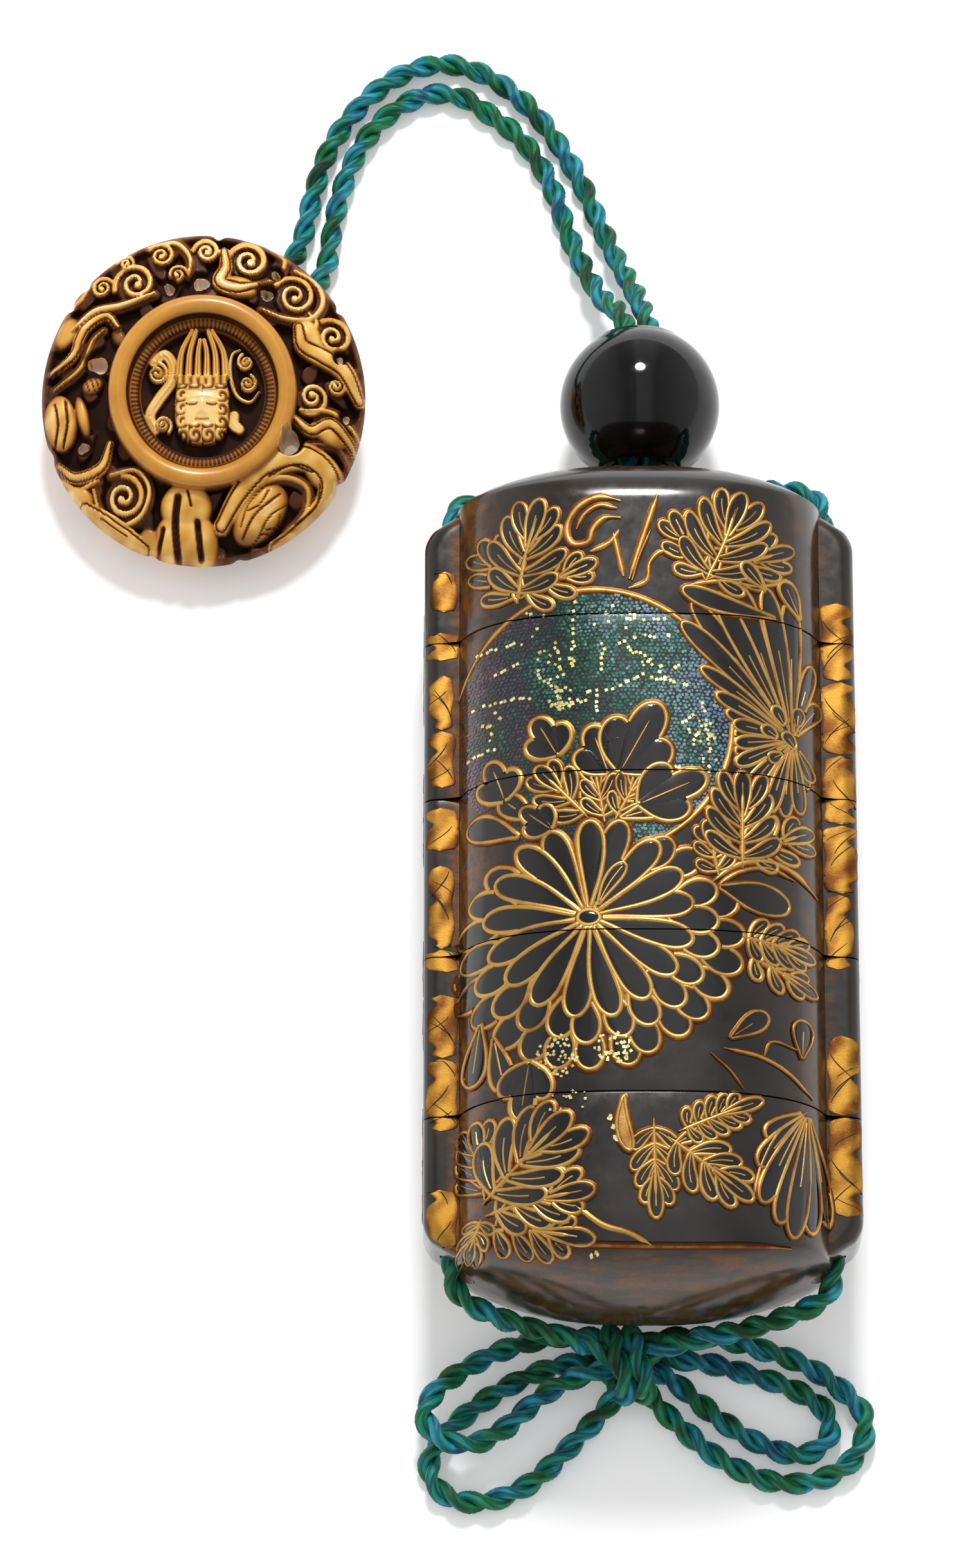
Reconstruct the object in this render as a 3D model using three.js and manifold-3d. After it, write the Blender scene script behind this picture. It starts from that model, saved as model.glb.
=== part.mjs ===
// Four-compartment inro with its ojime bead, netsuke and silk cord, lying on its back.
// Millimetres, +Z up. X runs across the case, +Y from its base towards the lid, and the
// origin is the middle of the flat spot on the case's back that it lies on.
import * as THREE from 'three';
import { mergeVertices } from 'three/addons/utils/BufferGeometryUtils.js';
import Module from 'manifold-3d';

const wasm = await Module();
wasm.setup();

// ---- Driving dimensions ----
const HALF_WIDTH = 20.5;          // oval body of the case, without its side runners
const HALF_DEPTH = 14.5;
const OVAL_POWER = 2.65;          // 2 is an ellipse, higher is squarer
const FLAT_CUT = 0.3;             // how much of the back is dressed flat
const MID_Z = HALF_DEPTH - FLAT_CUT;
const HALF_HEIGHT = 48.8;         // centre to the top of the dome
const SIDE_END = 43.8;            // where the sides turn into the dome
const FACE_END = 41;              // where the front turns into the dome
const SIDE_DOME_POWER = 1.15;
const FACE_DOME_POWER = 2.3;
const SECTION_PITCH = 18.4;       // height of each middle case
const SEAM_GAP = 0.3;

const RUNNER_HALF_WIDTH = 24;     // flat runners that carry the cord down both sides
const RUNNER_HALF_DEPTH = 4.7;
const RUNNER_INNER_END = 43.2;    // top of the sloping shoulder
const RUNNER_EDGE = 1.5;          // rounding of the runner's edges
const RUNNER_ROOT = 18;           // where its outline starts, inside the body
const SHOULDER_FOOT_X = 23.1;     // end of the shoulder's slope, before its rounded corner
const SHOULDER_FOOT_Y = 41.4;
const CORNER_START = 39;          // where the runner's straight side ends
const CORNER_CONTROL = 40.6;
const CHANNEL_X = 20.7;
const CHANNEL_RADIUS = 1.5;
const CHANNEL_MOUTH = 2.4;        // where its ends are eased for the cord
const CHANNEL_CORD_END = 41;      // half the length of the cord that lies inside it

const RISER_HEIGHT = 5;           // inner rim that slides into the section above
const RISER_CLEARANCE = 0.35;
const RISER_WALL = 1.05;
const SKIRT_WALL = 1.1;           // wall around the section above's riser
const SKIRT_SIDE_WALL = 2.6;      // the same at the sides, which also hold the channel
const FLOOR = 1.5;

const BEAD_RADIUS = 9.1;
const BEAD_BORE = 2.85;
const BEAD_MOUTH = 4.4;           // the bore's ends are eased for the cord
const BEAD_CENTRE = new THREE.Vector3(0.4, 60.3, 9.0);

const NETSUKE_RADIUS = 18.5;
const NETSUKE_STRETCH = 1.055;    // length over width
const NETSUKE_TILT = THREE.MathUtils.degToRad(8);
const NETSUKE_CENTRE = new THREE.Vector3(-49.4, 61.9, 6.2);
const RING_RADIUS = 9.65;         // smooth ring on its front
const RING_THICKNESS = 1.15;
const RING_HEIGHT = 5.1;

const CORD_RADIUS = 1.15;
const CORD_SIDES = 6;
const CORD_ROOM = 0.4;            // clearance where the cord passes through a piece
const KNOT_RADII = new THREE.Vector3(3.6, 4.1, 3.5);

const REACH = 120;                // farther than anything from the origin, for cutting

// ---- Helpers ----
function toSolid(geometry) {
  const bare = geometry.clone();
  bare.deleteAttribute('normal');
  bare.deleteAttribute('uv');
  const merged = mergeVertices(bare, 1e-4);
  return new wasm.Manifold(new wasm.Mesh({
    numProp: 3,
    vertProperties: new Float32Array(merged.attributes.position.array),
    triVerts: new Uint32Array(merged.index.array),
  }));
}

function toMesh(name, solid, material) {
  const result = solid.getMesh();
  const geometry = new THREE.BufferGeometry();
  geometry.setAttribute('position', new THREE.BufferAttribute(result.vertProperties, 3));
  geometry.setIndex(new THREE.BufferAttribute(result.triVerts, 1));
  geometry.computeVertexNormals();
  const mesh = new THREE.Mesh(geometry, material);
  mesh.name = name;
  return mesh;
}

function box(low, high) {
  const size = new THREE.Vector3().subVectors(high, low);
  const geometry = new THREE.BoxGeometry(size.x, size.y, size.z);
  geometry.translate((low.x + high.x) / 2, (low.y + high.y) / 2, (low.z + high.z) / 2);
  return toSolid(geometry);
}

function slab(lowY, highY) {
  return box(new THREE.Vector3(-REACH, lowY, -REACH), new THREE.Vector3(REACH, highY, REACH));
}

// Dresses a solid flat where it would go through the table.
function onTable(solid) {
  const room = box(new THREE.Vector3(-REACH, -REACH, 0), new THREE.Vector3(REACH, REACH, REACH));
  return solid.intersect(room);
}

// A closed solid through oval rings, each { y, a, b }: its place and its two half widths.
function loft(rings, count) {
  const positions = [];
  const index = [];
  for (const { y, a, b } of rings) {
    for (let i = 0; i < count; i++) {
      const angle = (i / count) * 2 * Math.PI;
      const c = Math.cos(angle);
      const s = Math.sin(angle);
      const x = a * Math.sign(c) * Math.abs(c) ** (2 / OVAL_POWER);
      const z = b * Math.sign(s) * Math.abs(s) ** (2 / OVAL_POWER);
      positions.push(x, y, MID_Z + z);
    }
  }
  const start = positions.length / 3;
  const end = start + 1;
  positions.push(0, rings[0].y, MID_Z, 0, rings[rings.length - 1].y, MID_Z);
  const last = (rings.length - 1) * count;
  for (let i = 0; i < count; i++) {
    const next = (i + 1) % count;
    index.push(start, i, next, end, last + next, last + i);
    for (let ring = 0; ring < last; ring += count) {
      index.push(ring + i, ring + count + i, ring + next);
      index.push(ring + next, ring + count + i, ring + count + next);
    }
  }
  const geometry = new THREE.BufferGeometry();
  geometry.setAttribute('position', new THREE.Float32BufferAttribute(positions, 3));
  geometry.setIndex(index);
  return toSolid(geometry);
}

function prism(a, b, lowY, highY, count) {
  return loft([{ y: lowY, a, b }, { y: highY, a, b }], count);
}

// Half widths of a domed oval at y, for a body whose sides and faces turn over at given places.
function domedRing(y, shape) {
  const side = Math.max(0, (Math.abs(y) - shape.sideEnd) / (shape.top - shape.sideEnd));
  const face = Math.max(0, (Math.abs(y) - shape.faceEnd) / (shape.top - shape.faceEnd));
  return {
    y,
    a: shape.a * Math.sqrt(1 - side ** SIDE_DOME_POWER),
    b: shape.b * Math.sqrt(1 - face ** FACE_DOME_POWER),
  };
}

const OUTER = { a: HALF_WIDTH, b: HALF_DEPTH, sideEnd: SIDE_END, faceEnd: FACE_END, top: HALF_HEIGHT };

// Places along the dome, as shares of the way from the face's end to the top.
const DOME_STEPS = [0, 0.36, 0.6, 0.8, 0.92, 0.985];

function domePlaces(shape) {
  return DOME_STEPS.map((step) => shape.faceEnd + step * (shape.top - shape.faceEnd));
}

function tube(curve, radius, steps, sides) {
  const section = new THREE.Shape();
  for (let i = 0; i < sides; i++) {
    const angle = ((i + 0.5) / sides) * 2 * Math.PI;
    const x = radius * Math.cos(angle);
    const y = radius * Math.sin(angle);
    if (i === 0) section.moveTo(x, y);
    else section.lineTo(x, y);
  }
  section.closePath();
  return new THREE.ExtrudeGeometry(section, { steps, extrudePath: curve });
}

function through(points) {
  return new THREE.CatmullRomCurve3(points.map((p) => new THREE.Vector3(...p)), false, 'centripetal');
}

// ---- The case: one outer form, cut into five sections ----
const BODY_SIDES = 30;
const CAVITY_SIDES = 18;
const SKIRT = { a: HALF_WIDTH - SKIRT_SIDE_WALL, b: HALF_DEPTH - SKIRT_WALL };
const RISER = { a: SKIRT.a - RISER_CLEARANCE, b: SKIRT.b - RISER_CLEARANCE };
const CAVITY = { a: RISER.a - RISER_WALL, b: RISER.b - RISER_WALL };
const DOME_WALL = 1.7;

function runnerPlate() {
  const corner = new THREE.QuadraticBezierCurve(
    new THREE.Vector2(RUNNER_HALF_WIDTH, CORNER_START),
    new THREE.Vector2(RUNNER_HALF_WIDTH, CORNER_CONTROL),
    new THREE.Vector2(SHOULDER_FOOT_X, SHOULDER_FOOT_Y),
  );
  const right = [
    ...corner.getPoints(3),
    new THREE.Vector2(HALF_WIDTH, RUNNER_INNER_END),
    new THREE.Vector2(RUNNER_ROOT, RUNNER_INNER_END),
  ];
  const left = right.map((p) => new THREE.Vector2(-p.x, p.y)).reverse();
  const upper = [...right, ...left];
  const lower = upper.map((p) => p.clone().negate());
  const geometry = new THREE.ExtrudeGeometry(new THREE.Shape([...upper, ...lower]), {
    depth: 2 * (RUNNER_HALF_DEPTH - RUNNER_EDGE),
    bevelThickness: RUNNER_EDGE,
    bevelSize: RUNNER_EDGE,
    bevelOffset: -RUNNER_EDGE,
    bevelSegments: 3,
  });
  geometry.translate(0, 0, MID_Z - RUNNER_HALF_DEPTH + RUNNER_EDGE);
  return toSolid(geometry);
}

function channels() {
  const holes = [-1, 1].map((side) => {
    const hole = toSolid(new THREE.CylinderGeometry(CHANNEL_RADIUS, CHANNEL_RADIUS, REACH, 12));
    const flare = CHANNEL_MOUTH - CHANNEL_RADIUS;
    const mouth = new THREE.CylinderGeometry(CHANNEL_MOUTH, CHANNEL_RADIUS, 2 * flare, 12);
    mouth.translate(0, RUNNER_INNER_END, 0);
    const upper = toSolid(mouth);
    const lower = toSolid(mouth.rotateZ(Math.PI));
    return hole.add(upper).add(lower).translate([side * CHANNEL_X, 0, MID_Z]);
  });
  return holes[0].add(holes[1]);
}

function outerForm() {
  const top = domePlaces(OUTER).map((y) => domedRing(y, OUTER));
  const bottom = domePlaces(OUTER).map((y) => domedRing(-y, OUTER)).reverse();
  const body = loft([...bottom, ...top], BODY_SIDES);
  return onTable(body.add(runnerPlate())).subtract(channels());
}

const SEAMS = [-1.5, -0.5, 0.5, 1.5].map((n) => n * SECTION_PITCH);

function riser(seam) {
  const outside = prism(RISER.a, RISER.b, seam - 2, seam + RISER_HEIGHT, CAVITY_SIDES);
  return outside.subtract(prism(CAVITY.a, CAVITY.b, seam - 3, seam + RISER_HEIGHT + 1, CAVITY_SIDES));
}

// Hollow that takes the riser of the section below, and whose roof is that section's ceiling.
function skirtHollow(seam) {
  return prism(SKIRT.a, SKIRT.b, seam - 1, seam + RISER_HEIGHT + RISER_CLEARANCE, CAVITY_SIDES);
}

function floorLevel(seam) {
  return seam + RISER_HEIGHT + RISER_CLEARANCE + FLOOR;
}

function domedHollow(width, openY, side) {
  const shape = {
    ...width, sideEnd: SIDE_END - DOME_WALL, faceEnd: FACE_END - DOME_WALL, top: HALF_HEIGHT - DOME_WALL,
  };
  const dome = domePlaces(shape).slice(0, -1).map((y) => domedRing(side * y, shape));
  const rings = [{ y: openY, a: width.a, b: width.b }, ...dome];
  return loft(side > 0 ? rings : rings.reverse(), CAVITY_SIDES);
}

function lidSolid(form) {
  const seam = SEAMS[3];
  const block = form.intersect(slab(seam + SEAM_GAP / 2, REACH));
  return block.subtract(domedHollow(SKIRT, seam - 1, 1));
}

function middleCase(form, lowSeam, highSeam) {
  const block = form.intersect(slab(lowSeam + SEAM_GAP / 2, highSeam - SEAM_GAP / 2));
  const hollow = prism(CAVITY.a, CAVITY.b, floorLevel(lowSeam), highSeam + 1, CAVITY_SIDES);
  return block.subtract(skirtHollow(lowSeam)).subtract(hollow).add(riser(highSeam));
}

function bottomCase(form) {
  const seam = SEAMS[0];
  const block = form.intersect(slab(-REACH, seam - SEAM_GAP / 2));
  return block.subtract(domedHollow(CAVITY, seam + 1, -1)).add(riser(seam));
}

// ---- Cord: two strands from the netsuke to the knot, and the four loops of its bow ----
const STRAND_GAP = 1.38;          // half the distance between the strands in the bead
const LEFT_IN_BEAD = BEAD_CENTRE.x - STRAND_GAP;
const RIGHT_IN_BEAD = BEAD_CENTRE.x + STRAND_GAP;

// Netsuke, round the arc on the table, up to the bead and out of its lower mouth.
const UPPER_LEFT = [
  [-41.6, 71.2, 5.4], [-39.0, 74.4, 4.1], [-36.8, 77.6, 2.6], [-35.5, 81.0, 1.5], [-35.1, 84.2, 1.3],
  [-34.3, 88.6, 1.3], [-33.0, 93.0, 1.3], [-30.6, 97.6, 1.3], [-27.2, 101.0, 1.3], [-23.2, 102.7, 1.3],
  [-19.6, 102.1, 1.3], [-16.6, 100.0, 1.3], [-13.3, 97.2, 1.3], [-10.9, 93.8, 1.3], [-9.0, 89.6, 1.3],
  [-7.6, 84.9, 1.5], [-5.7, 80.0, 2.4], [-3.6, 75.2, 4.8], [-1.5, 71.6, 8.2],
  [LEFT_IN_BEAD, 68.2, 9.0], [LEFT_IN_BEAD, 64.0, 9.0], [LEFT_IN_BEAD, 57.5, 9.0],
  [LEFT_IN_BEAD, 53.6, 9.0],
];
const UPPER_RIGHT = [
  [-44.8, 73.0, 5.8], [-42.6, 76.2, 4.5], [-40.6, 79.3, 2.9], [-39.0, 82.4, 1.6], [-38.1, 85.4, 1.3],
  [-37.3, 89.2, 1.3], [-36.0, 94.0, 1.3], [-33.8, 98.4, 1.3], [-30.4, 102.6, 1.3], [-26.4, 105.4, 1.3],
  [-22.1, 106.5, 1.3], [-17.6, 105.3, 1.3], [-13.6, 102.5, 1.3], [-10.3, 98.8, 1.3], [-7.7, 94.6, 1.3],
  [-5.6, 90.4, 1.3], [-3.9, 86.0, 1.5], [-1.9, 81.0, 2.6], [0.2, 75.4, 5.4], [1.3, 71.3, 7.9],
  [RIGHT_IN_BEAD, 68.2, 8.9], [RIGHT_IN_BEAD, 64.0, 9.0], [RIGHT_IN_BEAD, 57.5, 9.0],
  [RIGHT_IN_BEAD, 53.6, 9.0],
];

// Bead to the channel in the runner, behind the top of the lid. The left one lies lower.
const OVER_LID_RIGHT = [
  [RIGHT_IN_BEAD, 53.1, 9.0], [2.1, 51.7, 8.8], [3.9, 50.6, 8.7], [6.6, 50.1, 8.8], [10.2, 49.6, 9.6],
  [13.8, 48.9, 11.4], [17.2, 48.1, 13.4], [19.9, 46.8, 14.2], [20.8, 44.4, 14.2], [20.7, 41.3, 14.2],
];
const OVER_LID_LEFT = [
  [LEFT_IN_BEAD, 53.1, 9.0], [-1.3, 51.7, 8.7], [-3.2, 50.6, 8.4], [-6.2, 50.1, 8.1], [-10.0, 49.5, 8.1],
  [-13.8, 48.6, 8.8], [-17.4, 47.6, 10.6], [-20.0, 46.3, 12.8], [-20.8, 44.4, 14.0], [-20.7, 41.3, 14.2],
];
// Out of the channel and round the base to the knot.
const KNOT = new THREE.Vector3(-1.5, -51.2, 3.55);
const UNDER_BASE_RIGHT = [
  [20.7, -41.3, 14.2], [20.9, -44.3, 14.2], [19.8, -46.7, 13.9], [16.2, -48.3, 12.9], [11.8, -49.2, 11.0],
  [7.6, -49.6, 8.9], [4.0, -49.9, 7.0], [2.6, -50.1, 6.3],
];
const UNDER_BASE_LEFT = [
  [-20.7, -41.3, 14.2], [-20.8, -44.3, 14.2], [-19.8, -46.6, 13.9], [-16.7, -48.2, 12.9],
  [-13.0, -49.1, 11.2], [-9.4, -49.5, 9.0], [-6.4, -49.9, 7.0], [-5.6, -50.1, 6.4],
];

const BOW_UPPER_LEFT = [
  [-6.1, -48.1, 3.2], [-10.2, -48.1, 2.7], [-14.6, -49.0, 1.9], [-19.0, -51.4, 2.6], [-22.6, -54.4, 3.7],
  [-23.9, -57.2, 4.0], [-22.2, -59.8, 4.0], [-18.4, -60.4, 4.0], [-14.8, -58.4, 3.5], [-11.6, -55.2, 2.6],
  [-8.4, -53.2, 3.2], [-5.9, -52.5, 3.9],
];
const BOW_LOWER_LEFT = [
  [-6.1, -50.4, 1.3], [-10.4, -51.3, 1.3], [-15.0, -53.4, 1.3], [-19.0, -56.2, 1.3], [-22.2, -59.4, 1.3],
  [-23.4, -62.8, 1.3], [-21.2, -65.8, 1.3], [-16.8, -66.2, 1.3], [-12.2, -64.2, 1.3], [-8.4, -60.6, 1.3],
  [-5.2, -57.2, 1.4], [-3.2, -54.9, 1.9],
];
const BOW_UPPER_RIGHT = [
  [3.1, -50.1, 1.3], [7.4, -50.6, 1.3], [12.0, -51.9, 1.3], [16.4, -53.4, 1.3], [20.2, -56.0, 1.3],
  [20.6, -59.0, 1.3], [17.8, -61.0, 1.3], [13.6, -60.0, 1.3], [9.2, -57.4, 1.3], [5.8, -54.6, 1.3],
  [2.7, -52.0, 1.3],
];
const BOW_LOWER_RIGHT = [
  [3.0, -48.3, 3.4], [7.6, -48.2, 3.4], [12.6, -49.2, 2.6], [17.4, -50.6, 1.7], [21.6, -53.2, 1.3],
  [24.6, -56.8, 1.3], [23.6, -61.0, 1.3], [19.6, -63.8, 1.3], [14.2, -64.0, 1.3], [8.8, -61.6, 1.3],
  [4.2, -57.8, 1.4], [1.2, -54.8, 1.9],
];

const CORDS = [
  { name: 'cord_upper_left', points: UPPER_LEFT, steps: 17 },
  { name: 'cord_upper_right', points: UPPER_RIGHT, steps: 17 },
  { name: 'cord_over_lid_left', points: OVER_LID_LEFT, steps: 6 },
  { name: 'cord_over_lid_right', points: OVER_LID_RIGHT, steps: 6 },
  { name: 'cord_channel_left', points: channelRun(-1), steps: 1 },
  { name: 'cord_channel_right', points: channelRun(1), steps: 1 },
  { name: 'cord_under_base_left', points: UNDER_BASE_LEFT, steps: 5 },
  { name: 'cord_under_base_right', points: UNDER_BASE_RIGHT, steps: 5 },
  { name: 'bow_upper_left', points: BOW_UPPER_LEFT, steps: 8 },
  { name: 'bow_lower_left', points: BOW_LOWER_LEFT, steps: 8 },
  { name: 'bow_upper_right', points: BOW_UPPER_RIGHT, steps: 8 },
  { name: 'bow_lower_right', points: BOW_LOWER_RIGHT, steps: 8 },
];

function channelRun(side) {
  return [[side * CHANNEL_X, CHANNEL_CORD_END, MID_Z], [side * CHANNEL_X, -CHANNEL_CORD_END, MID_Z]];
}

function knotSolid() {
  const geometry = new THREE.SphereGeometry(1, 14, 9);
  geometry.scale(...KNOT_RADII.toArray());
  geometry.translate(...KNOT.toArray());
  let solid = toSolid(geometry);
  for (const { name, points, steps } of CORDS) {
    if (!/bow|base/.test(name)) continue;
    solid = solid.subtract(toSolid(tube(through(points), CORD_RADIUS + CORD_ROOM, steps, 6)));
  }
  return solid;
}

// ---- Bead ----
function beadSolid() {
  const profile = [];
  const open = Math.asin(BEAD_MOUTH / BEAD_RADIUS);
  const rows = 8;
  for (let i = 0; i <= rows; i++) {
    const angle = open + (i / rows) * (Math.PI - 2 * open);
    profile.push(new THREE.Vector2(BEAD_RADIUS * Math.sin(angle), -BEAD_RADIUS * Math.cos(angle)));
  }
  const mouthY = BEAD_RADIUS * Math.cos(open);
  const boreEnd = mouthY - (BEAD_MOUTH - BEAD_BORE);
  profile.push(new THREE.Vector2(BEAD_BORE, boreEnd), new THREE.Vector2(BEAD_BORE, -boreEnd));
  profile.push(profile[0].clone());
  const geometry = new THREE.LatheGeometry(profile, 22);
  geometry.translate(...BEAD_CENTRE.toArray());
  return onTable(toSolid(geometry));
}

// ---- Netsuke: a bun-shaped disc with a ring, a sunken medallion and pierced clouds ----
const FACE_PROFILE = [
  [0, -5.6], [8, -5.2], [13.5, -3.6], [17.4, -1.2], [18.5, 0.7], [17.9, 2.0], [16, 3.3],
  [13.2, 4.2], [11, 4.7], [8.3, 4.9], [7.9, 5.3], [7.2, 5.2], [6.6, 3.6], [0, 3.3],
];

// Height of the front at a distance from its middle, along the front part of FACE_PROFILE.
function faceHeight(radius) {
  const front = FACE_PROFILE.slice(4);
  const next = Math.max(1, front.findIndex(([r]) => r <= radius));
  const [outerRadius, outerHeight] = front[next - 1];
  const [innerRadius, innerHeight] = front[next];
  const share = THREE.MathUtils.clamp((outerRadius - radius) / (outerRadius - innerRadius), 0, 1);
  return THREE.MathUtils.lerp(outerHeight, innerHeight, share);
}

// A ribbon of the relief through [x, y] places on the netsuke's face.
function relief(places, radius, steps, lift) {
  const points = places.map(([x, y]) => [x, y, faceHeight(Math.hypot(x, y)) + lift]);
  return toSolid(tube(through(points), radius, steps, 3));
}

function spiral({ x, y, size, turn, hand }) {
  const places = [];
  const count = 9;
  for (let i = 0; i <= count; i++) {
    const share = i / count;
    const angle = turn + hand * share * 2.9 * Math.PI;
    const reach = size * (1 - 0.86 * share ** 0.8);
    places.push([x + reach * Math.cos(angle), y + reach * Math.sin(angle)]);
  }
  return relief(places, 0.6, 6, 0.1);
}

function lump({ x, y, z, sizes, angle }) {
  const geometry = new THREE.SphereGeometry(1, 7, 5);
  geometry.scale(...sizes);
  geometry.rotateZ(angle);
  geometry.translate(x, y, z);
  return toSolid(geometry);
}

const CLOUDS = [
  { x: -7.6, y: 13.6, size: 2.5, turn: 3.4, hand: -1 }, { x: -3.6, y: 15.9, size: 1.7, turn: 0.2, hand: 1 },
  { x: 0.6, y: 16.2, size: 1.6, turn: 3.0, hand: -1 }, { x: 5.4, y: 15.0, size: 2.7, turn: 3.3, hand: -1 },
  { x: 10.4, y: 11.4, size: 2.6, turn: 2.6, hand: -1 }, { x: 14.6, y: 6.8, size: 2.2, turn: 2.2, hand: -1 },
  { x: 12.8, y: 0.5, size: 2.0, turn: 4.0, hand: 1 }, { x: -9.0, y: -11.2, size: 2.7, turn: 1.6, hand: -1 },
  { x: -4.7, y: 2.7, size: 1.15, turn: 4.2, hand: 1 }, { x: 4.5, y: 2.4, size: 1.2, turn: 1.5, hand: -1 },
];
const BANDS = [
  [[-17.2, 3.4], [-15.6, 5.4], [-14.2, 8.2], [-11.6, 9.8], [-9.6, 8.4]],
  [[-16.8, -7.4], [-13.6, -8.8], [-11.4, -7.0], [-10.4, -4.6]],
  [[11.2, -3.6], [13.2, -2.6], [15.2, -4.0], [17.0, -5.6]],
  [[-12.6, -13.0], [-10.0, -15.2], [-7.2, -16.6]],
  [[11.0, 5.6], [12.2, 3.6], [15.2, 3.2], [17.6, -0.6]],
];
// Each [x, y, radius].
const PIERCINGS = [
  [-3.9, 12.7, 0.75], [-0.4, 13.3, 0.9], [7.2, 12.4, 0.85], [-12.0, 3.4, 1.0], [10.2, -5.2, 1.25],
];

// Each { x, y, z, sizes, angle }: hooded drapery below the ring, the pouch in a fold of cloth, a bowed
// figure at the left, and the small head in its tall cap.
const LUMPS = [
  { x: -0.9, y: -13.2, z: 3.2, sizes: [3.2, 3.4, 2.4], angle: 0 },
  { x: -2.4, y: -16.4, z: 1.6, sizes: [1.6, 2.6, 2.2], angle: 0.2 },
  { x: 0.9, y: -16.4, z: 1.6, sizes: [1.6, 2.6, 2.2], angle: -0.1 },
  { x: 6.9, y: -12.9, z: 3.1, sizes: [3.9, 2.6, 1.9], angle: 0.75 },
  { x: -15.3, y: -2.4, z: 2.7, sizes: [1.7, 3.6, 1.9], angle: 0.1 },
  { x: -12.4, y: -1.2, z: 3.9, sizes: [1.0, 2.6, 1.1], angle: 0.3 },
  { x: -0.3, y: -1.9, z: 3.9, sizes: [2.9, 3.5, 1.8], angle: 0 },
  { x: -0.4, y: 3.4, z: 3.9, sizes: [2.6, 3.2, 1.4], angle: 0 },
];
const CLOTH_HEM = [[3.4, -13.6], [6.2, -8.9], [11.6, -6.6], [14.6, -9.2], [12.4, -12.8], [9.2, -15.6]];
const CAP_BAND = [[-3.1, 1.5], [-0.4, 1.2], [2.3, 1.5]];

function netsukeCarving() {
  const disc = new THREE.LatheGeometry(FACE_PROFILE.map((p) => new THREE.Vector2(...p)), 26);
  const ring = new THREE.TorusGeometry(RING_RADIUS, RING_THICKNESS, 6, 24).translate(0, 0, RING_HEIGHT);
  let solid = toSolid(disc.rotateX(Math.PI / 2)).add(toSolid(ring));
  for (const [x, y, radius] of PIERCINGS) {
    const hole = new THREE.CylinderGeometry(radius, radius, 30, 5).rotateX(Math.PI / 2);
    const pocket = new THREE.SphereGeometry(1, 6, 4).scale(radius + 1.3, radius + 0.9, 1.6);
    pocket.translate(0, 0, faceHeight(Math.hypot(x, y)) + 0.4);
    solid = solid.subtract(toSolid(hole.translate(x, y, 0)));
    solid = solid.subtract(toSolid(pocket.translate(x, y, 0)));
  }
  for (const cloud of CLOUDS) solid = solid.add(spiral(cloud));
  for (const band of BANDS) solid = solid.add(relief(band, 0.62, 6, 0.1));
  for (const shape of LUMPS) solid = solid.add(lump(shape));
  solid = solid.add(relief(CLOTH_HEM, 1.0, 11, 0.1));
  return solid.add(relief(CAP_BAND, 0.55, 3, 0.9));
}

function netsukeSolid() {
  const stretch = new THREE.Matrix4().makeScale(1, NETSUKE_STRETCH, 1);
  const place = new THREE.Matrix4().makeRotationX(NETSUKE_TILT)
    .setPosition(NETSUKE_CENTRE).multiply(stretch);
  let solid = onTable(netsukeCarving().transform(place.toArray()));
  for (const points of [UPPER_LEFT, UPPER_RIGHT]) {
    const stretchIn = points.slice(0, 6);
    const start = new THREE.Vector3(...points[0]);
    const along = new THREE.Vector3(...points[1]).sub(start).normalize();
    const before = start.addScaledVector(along, -0.8).toArray();
    solid = solid.subtract(toSolid(tube(through([before, ...stretchIn]), CORD_RADIUS + CORD_ROOM, 6, 7)));
  }
  return solid;
}

// ---- Assembly ----
const lacquer = new THREE.MeshStandardMaterial({ color: 0x1c1512, roughness: 0.22, metalness: 0 });
const blackLacquer = new THREE.MeshStandardMaterial({ color: 0x060607, roughness: 0.08, metalness: 0 });
const stainedIvory = new THREE.MeshStandardMaterial({ color: 0xc98f3c, roughness: 0.35, metalness: 0 });
const silk = new THREE.MeshStandardMaterial({ color: 0x0f7a72, roughness: 0.7, metalness: 0 });

const inro = new THREE.Group();
const form = outerForm();
inro.add(toMesh('lid', lidSolid(form), lacquer));
for (let i = 3; i > 0; i--) {
  inro.add(toMesh(`case_${4 - i}`, middleCase(form, SEAMS[i - 1], SEAMS[i]), lacquer));
}
inro.add(toMesh('case_bottom', bottomCase(form), lacquer));
inro.add(toMesh('ojime_bead', beadSolid(), blackLacquer));
inro.add(toMesh('netsuke', netsukeSolid(), stainedIvory));
for (const { name, points, steps } of CORDS) {
  inro.add(toMesh(name, toSolid(tube(through(points), CORD_RADIUS, steps, CORD_SIDES)), silk));
}
inro.add(toMesh('cord_knot', knotSolid(), silk));

export default inro;
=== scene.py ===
"""Inro with its bead, netsuke and silk cord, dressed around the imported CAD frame."""
import math
import random

import bmesh
import bpy
import numpy as np
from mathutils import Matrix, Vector


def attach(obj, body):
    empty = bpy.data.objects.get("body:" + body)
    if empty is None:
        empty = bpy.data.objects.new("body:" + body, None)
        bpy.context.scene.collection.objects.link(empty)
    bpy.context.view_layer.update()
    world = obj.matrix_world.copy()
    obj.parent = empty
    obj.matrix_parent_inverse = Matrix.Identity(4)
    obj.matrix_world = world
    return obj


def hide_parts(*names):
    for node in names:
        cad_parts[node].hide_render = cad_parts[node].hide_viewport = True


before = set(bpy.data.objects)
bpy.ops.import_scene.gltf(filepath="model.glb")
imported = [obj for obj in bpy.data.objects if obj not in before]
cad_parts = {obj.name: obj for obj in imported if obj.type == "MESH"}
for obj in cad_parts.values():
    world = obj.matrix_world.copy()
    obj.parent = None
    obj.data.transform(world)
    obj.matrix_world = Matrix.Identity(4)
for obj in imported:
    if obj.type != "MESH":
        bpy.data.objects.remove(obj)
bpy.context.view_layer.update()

MM = 0.001

# ---------------------------------------------------------------- helpers


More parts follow.
